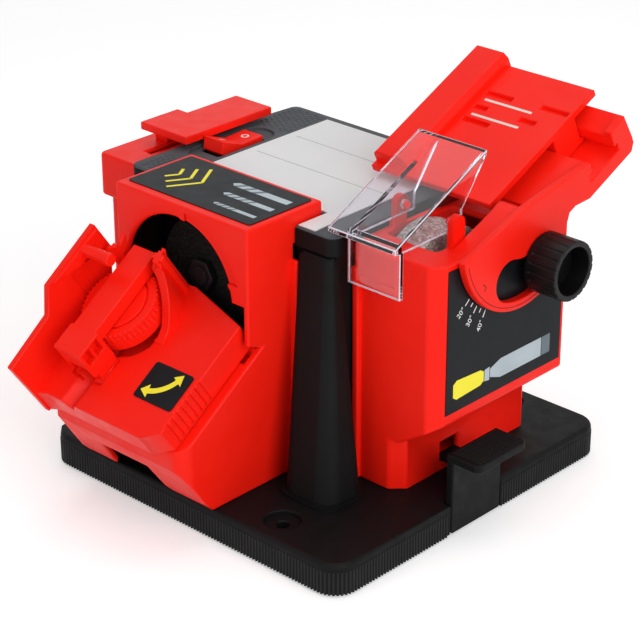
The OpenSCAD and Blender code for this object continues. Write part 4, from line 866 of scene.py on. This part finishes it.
# %% [markdown]
# ## Prints and stickers
# Prints are thin plates of ink that lie on the sticker below them, so they keep a crisp
# edge from any side and need no image. Each is drawn as flat outlines, in millimetres, on
# the plane of its sticker. The pictograms are plain shapes that say what each station is
# for: drill bits in three sizes, and a chisel.

# %% Flat print helper
INK = 0.04 * MM


def plane(origin, across, up):
    """Matrix that takes drawing millimetres to a plane in the model."""
    x, y = Vector(across).normalized(), Vector(up).normalized()
    z = x.cross(y)
    return Matrix((
        (x.x * MM, y.x * MM, z.x, origin[0]), (x.y * MM, y.y * MM, z.y, origin[1]),
        (x.z * MM, y.z * MM, z.z, origin[2]), (0, 0, 0, 1)))


def printed(name, outlines, where, body, material, slot):
    made = bmesh.new()
    for outline in outlines:
        low = [made.verts.new((x, y, 0)) for x, y in outline]
        high = [made.verts.new((x, y, INK)) for x, y in outline]
        made.faces.new(low[::-1])
        made.faces.new(high)
        for i in range(len(low)):
            j = (i + 1) % len(low)
            made.faces.new((low[i], low[j], high[j], high[i]))
    made.transform(where)
    bmesh.ops.recalc_face_normals(made, faces=made.faces)
    mesh = bpy.data.meshes.new(name)
    made.to_mesh(mesh)
    made.free()
    return add_piece(name, mesh, body, material, slot)


def bar_outline(x0, y0, x1, y1, width):
    d = Vector((x1 - x0, y1 - y0)).normalized() * width / 2
    return [(x0 + d.y, y0 - d.x), (x1 + d.y, y1 - d.x),
            (x1 - d.y, y1 + d.x), (x0 - d.y, y0 + d.x)]


def on_circle(radius, angle):
    return radius * math.cos(angle), radius * math.sin(angle)


def ring_pieces(inner, outer, angles):
    """Short flat pieces that follow a circle from each angle to the next."""
    return [[on_circle(outer, p), on_circle(outer, q), on_circle(inner, q), on_circle(inner, p)]
            for p, q in zip(angles, angles[1:])]


def lettering(name, words, height, where, body, material, slot):
    curve = bpy.data.curves.new(name, "FONT")
    curve.body = words
    curve.size = height
    curve.align_x, curve.align_y = "CENTER", "CENTER"
    curve.extrude = INK / 2
    host = bpy.data.objects.new(name + "_host", curve)
    scene.collection.objects.link(host)
    mesh = evaluated_mesh(host)
    bpy.data.objects.remove(host)
    mesh.name = name
    mesh.transform(Matrix.Translation((0, 0, INK / 2)))
    mesh.transform(where)
    return add_piece(name, mesh, body, material, slot)


# %% [markdown]
# ### Drill sticker
# Three plain bits, each thicker and longer than the last, lie beside a gauge of three
# yellow angles that stands for the tip. A row of slanted shapes is enough to read as flutes.

# %% Sticker on the drill station: three plain bits and a tip gauge
BIT_MARGIN, FIRST_BIT, BIT_STEP = 3.5, 6.5, 9.2
FLUTED = 0.6   # share of a bit that has flutes
GAUGE_X, GAUGE_Y, GAUGE_STEP, GAUGE_LINE = 8.0, 17, 4.2, 1.3
low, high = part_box("drill_sticker")
drill_plane = plane((low.x, low.y, high.z), (1, 0, 0), (0, 1, 0))
sticker_w, sticker_d = (high.x - low.x) / MM, (high.y - low.y) / MM
steel_lines, flutes = [], []
for i, (length, thick) in enumerate(((22, 2.0), (26, 2.8), (30, 3.6))):
    x1 = sticker_w - BIT_MARGIN
    y = FIRST_BIT + i * BIT_STEP
    x0 = x1 - length
    tip = thick * 0.55
    steel_lines.append([(x0 + tip, y - thick / 2), (x1, y - thick / 2), (x1, y + thick / 2),
                        (x0 + tip, y + thick / 2), (x0, y)])
    pitch = thick * 1.35
    for k in range(int(length * FLUTED / pitch)):
        fx = x0 + tip + k * pitch
        flutes.append([(fx, y - thick / 2), (fx + pitch * 0.4, y - thick / 2),
                       (fx + pitch, y + thick / 2), (fx + pitch * 0.6, y + thick / 2)])
printed("bit_shapes", steel_lines, drill_plane, "frame", SILVER, "sticker_black")
printed("bit_flutes", flutes, drill_plane @ Matrix.Translation((0, 0, INK)), "frame", SHADE,
        "sticker_black")
gauge = []
for k, reach in enumerate((5.0, 8.5, 12.0)):
    x0 = GAUGE_X + k * GAUGE_STEP
    x1 = x0 + reach * 0.6
    gauge += [bar_outline(x0, GAUGE_Y - reach, x1, GAUGE_Y, GAUGE_LINE),
              bar_outline(x1, GAUGE_Y, x0, GAUGE_Y + reach, GAUGE_LINE)]
printed("tip_gauge", gauge, drill_plane, "frame", YELLOW, "sticker_black")
print("drill sticker", round(sticker_w, 1), "x", round(sticker_d, 1))

# %% [markdown]
# ### Dial
# The dial has a long tick for each ten degrees and a short one between. The ticks follow a
# rule, so a small tree turns one bar about the tilt pivot. The numbers stand outside the
# long ticks and read towards the pivot.

# %% Dial ticks and numbers
dial_low, dial_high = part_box("dial_sticker")
pivot = joint_at["arm_tilt"]
TICK_START, TICK_STEP = 221.4, 5.05
NUMBER_R, NUMBER_SIZE = 41.6 * MM, 3.3
ticks, given = new_tree("dial_ticks", (
    ("Count", "Int", 5), ("First angle", "Float", 0.0), ("Step", "Float", 0.1),
    ("Radius", "Float", 0.036), ("Tick length", "Float", 0.004), ("Tick width", "Float", 0.0004),
    ("Ink", "Float", 0.00004), ("Finish", "Material", None)))
centre = shader_step(ticks, "GeometryNodeMeshLine",
                     {"Count": given["Count"], "Offset": (0, 0, 0)}, mode="OFFSET")
size = shader_step(ticks, "ShaderNodeCombineXYZ",
                   {"X": given["Tick length"], "Y": given["Tick width"], "Z": given["Ink"]})
block = shader_step(ticks, "GeometryNodeMeshCube", {"Size": size.outputs[0]})
out = shader_step(ticks, "ShaderNodeCombineXYZ", {
    "X": math_step(ticks, "MULTIPLY", given["Tick length"], 0.5),
    "Z": math_step(ticks, "MULTIPLY", given["Ink"], 0.5)})
ahead = shader_step(ticks, "GeometryNodeTransform",
                    {"Geometry": block.outputs["Mesh"], "Translation": out.outputs[0]})
number = ticks.nodes.new("GeometryNodeInputIndex").outputs[0]
angle = math_step(ticks, "ADD", given["First angle"],
                  math_step(ticks, "MULTIPLY", number, given["Step"]))
turn = shader_step(ticks, "ShaderNodeCombineXYZ", {"Z": angle})
short = math_step(ticks, "MODULO", number, 2.0)
reach = shader_step(ticks, "ShaderNodeCombineXYZ", {
    "X": math_step(ticks, "SUBTRACT", 1.0, math_step(ticks, "MULTIPLY", short, 0.42)),
    "Y": 1.0, "Z": 1.0})
fan_out = shader_step(ticks, "ShaderNodeCombineXYZ", {
    "X": math_step(ticks, "MULTIPLY", given["Radius"], math_step(ticks, "COSINE", angle)),
    "Y": math_step(ticks, "MULTIPLY", given["Radius"], math_step(ticks, "SINE", angle))})
spots = shader_step(ticks, "GeometryNodeSetPosition",
                    {"Geometry": centre.outputs[0], "Offset": fan_out.outputs[0]})
row = shader_step(ticks, "GeometryNodeInstanceOnPoints",
                  {"Points": spots.outputs[0], "Instance": ahead.outputs[0],
                   "Rotation": turn.outputs[0], "Scale": reach.outputs[0]})
close_tree(ticks, row.outputs[0], given["Finish"])
upright_dial = Matrix(((0, 0, 1, dial_high.x), (1, 0, 0, pivot.y), (0, 1, 0, pivot.z),
                       (0, 0, 0, 1)))
grow("dial_ticks", ticks, {
    "Count": 5, "First angle": math.radians(TICK_START), "Step": math.radians(TICK_STEP),
    "Radius": 35.3 * MM, "Tick length": 3.0 * MM, "Tick width": 0.45 * MM, "Ink": INK,
    "Finish": WHITE}, "frame", "sticker_black", place=upright_dial)
for k, words in enumerate(("20°", "30°", "40°")):
    a = math.radians(TICK_START + 2 * k * TICK_STEP)
    inward = (-math.cos(a), -math.sin(a))
    at = (pivot.y - inward[0] * NUMBER_R, pivot.z - inward[1] * NUMBER_R)
    where = plane((dial_high.x, *at), (0, inward[0], inward[1]), (0, -inward[1], inward[0]))
    lettering("dial_" + words[:2], words, NUMBER_SIZE, where, "frame", WHITE, "sticker_black")

# %% [markdown]
# ### Painted groove lines in the arm's disc
# A fine groove follows the rim of the disc, and a small chevron points at the dial. They
# are shallow, so they are not cut: a dark red line on the face is painted shade that stands
# in for the shadow in the cut, and is far lighter.

# %% Groove and chevron on the disc, as painted shade
disc_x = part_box("tilt_arm")[1].x
disc_plane = plane((disc_x, pivot.y, pivot.z), (0, 1, 0), (0, 0, 1))
GROOVE_R, GROOVE_W = 33.0, 0.32
groove = ring_pieces(GROOVE_R - GROOVE_W / 2, GROOVE_R + GROOVE_W / 2,
                     [math.radians(a) for a in range(194, 300, 3)])
CHEVRON_TIP, CHEVRON_W = (-21.7, -18.9), 0.4
chevron = [bar_outline(-23.5, -17.3, *CHEVRON_TIP, CHEVRON_W),
           bar_outline(*CHEVRON_TIP, -22.6, -20.5, CHEVRON_W)]
printed("disc_painted_groove_shade", groove + chevron, disc_plane, "arm", PAINTED_GROOVE_SHADE, "red_plastic")
print("groove pieces:", len(groove))

# %% [markdown]
# ### Chisel picture
# A chisel seen from above fills the sticker under the dial: a yellow grip, a silver collar
# and blade, and a darker ground edge. Each is one flat outline.

# %% Chisel pictogram under the dial
sticker_plane = plane((dial_high.x, dial_low.y, dial_low.z), (0, 1, 0), (0, 0, 1))
wide = (dial_high.y - dial_low.y) / MM
handle = [(4, 6.4), (6, 5), (20, 5.8), (22, 7), (22, 11), (20, 12.2), (6, 13), (4, 11.6)]
collar = [(22.4, 6.6), (25.4, 6.2), (25.4, 11.8), (22.4, 11.4)]
blade = [(25.8, 7.2), (32, 5), (wide - 12, 5), (wide - 12, 13), (32, 13), (25.8, 10.8)]
edge = [(wide - 11.6, 5), (wide - 6.5, 5), (wide - 6.5, 13), (wide - 11.6, 13)]
printed("chisel_grip", [handle], sticker_plane, "frame", YELLOW, "sticker_black")
printed("chisel_blade", [blade, collar], sticker_plane, "frame", SILVER, "sticker_black")
printed("chisel_edge", [edge], sticker_plane, "frame", SHADE, "sticker_black")
print("dial sticker", round(wide, 1), "mm wide")

# %% [markdown]
# ### Swing arrow
# A curved arrow with two heads shows that the drill holder swings. The band is one outline
# that runs out along an arc and back along another, and each head is a triangle across its
# end.

# %% Arrow on the drill holder
low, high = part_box("arrow_sticker")
normal = joint_axis["holder_swing"]
if normal.z < 0:
    normal = -normal
uphill = normal.cross(Vector((1, 0, 0))).normalized()
middle = (low + high) / 2 + normal * 0.2 * MM
arrow_plane = plane(middle, (1, 0, 0), uphill)
ARC_R, BAND, LEAN = 14.3, 2.3, math.radians(40)
arc = [math.radians(a) for a in range(-115, -64, 5)]
HEAD_HALF, HEAD_LENGTH = BAND * 1.25, 3.7
ARROW_X, ARROW_Y = 0.6, -1.3
outer = [on_circle(ARC_R + BAND / 2, a) for a in arc]
inner = [on_circle(ARC_R - BAND / 2, a) for a in arc]
shapes = [outer + inner[::-1]]
for a, way in ((arc[0], -1), (arc[-1], 1)):
    tip = a + way * HEAD_LENGTH / ARC_R
    shapes.append([on_circle(ARC_R + HEAD_HALF, a), on_circle(ARC_R, tip),
                   on_circle(ARC_R - HEAD_HALF, a)])
place = (ARROW_X - ARC_R * math.sin(LEAN), ARC_R * math.cos(LEAN) + ARROW_Y, 0)
lean = Matrix.Translation(place) @ Matrix.Rotation(LEAN, 4, "Z")
printed("swing_arrow", shapes, arrow_plane @ lean, "holder", YELLOW, "sticker_black")
print("arrow outlines:", len(shapes))

# %% [markdown]
# ### Label rules
# The white label stays bare apart from two thin rules across its wide part.

# %% Rules on the label
low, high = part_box("rating_label")
label_plane = plane((low.x, low.y, high.z), (1, 0, 0), (0, 1, 0))
label_w, label_d = (high.x - low.x) / MM, (high.y - low.y) / MM
TONGUE, RULE_MARGIN, RULE_W = 17.5, 4, 0.3
heights = [TONGUE + k * (label_d - TONGUE) for k in (0.36, 0.68)]
rules = [bar_outline(RULE_MARGIN, y, label_w - RULE_MARGIN, y, RULE_W) for y in heights]
printed("label_rules", rules, label_plane, "frame", RULE, "label_white")
print("label", round(label_w, 1), "x", round(label_d, 1), "mm")

# %% [markdown]
# ### Rocker marks
# The usual marks of a switch, a stroke for on and a ring for off, lie on the two sloping
# halves of the rocker. Each half has its own plane, tilted with the rocker.

# %% Marks on the rocker: a stroke and a ring
ROCKER_TILT = math.radians(-9)
MARK_OUT, MARK_UP = 6.6, 7.04
MARK_R, MARK_HOLE, STROKE_HALF = 1.7, 1.1, 0.35
at = joint_at["switch_rock"]
slope = math.atan2(2.34, 11.7)   # rise and length of one half of the rocker
for name, side in (("rocker_on", -1), ("rocker_off", 1)):
    spin = Matrix.Rotation(ROCKER_TILT, 3, "X")
    seat = spin @ Vector((0, side * MARK_OUT, MARK_UP)) * MM + at
    up = spin @ Vector((0, math.cos(slope), side * math.sin(slope)))
    where = plane(seat, (1, 0, 0), up)
    if side < 0:
        shapes = [[(-STROKE_HALF, -MARK_R), (STROKE_HALF, -MARK_R),
                   (STROKE_HALF, MARK_R), (-STROKE_HALF, MARK_R)]]
    else:
        ring = [math.radians(a) for a in range(0, 360, 15)]
        shapes = ring_pieces(MARK_HOLE, MARK_R, ring + ring[:1])
    printed(name, shapes, where, "rocker", WHITE, "white_plastic")
    print(name, "outlines:", len(shapes))
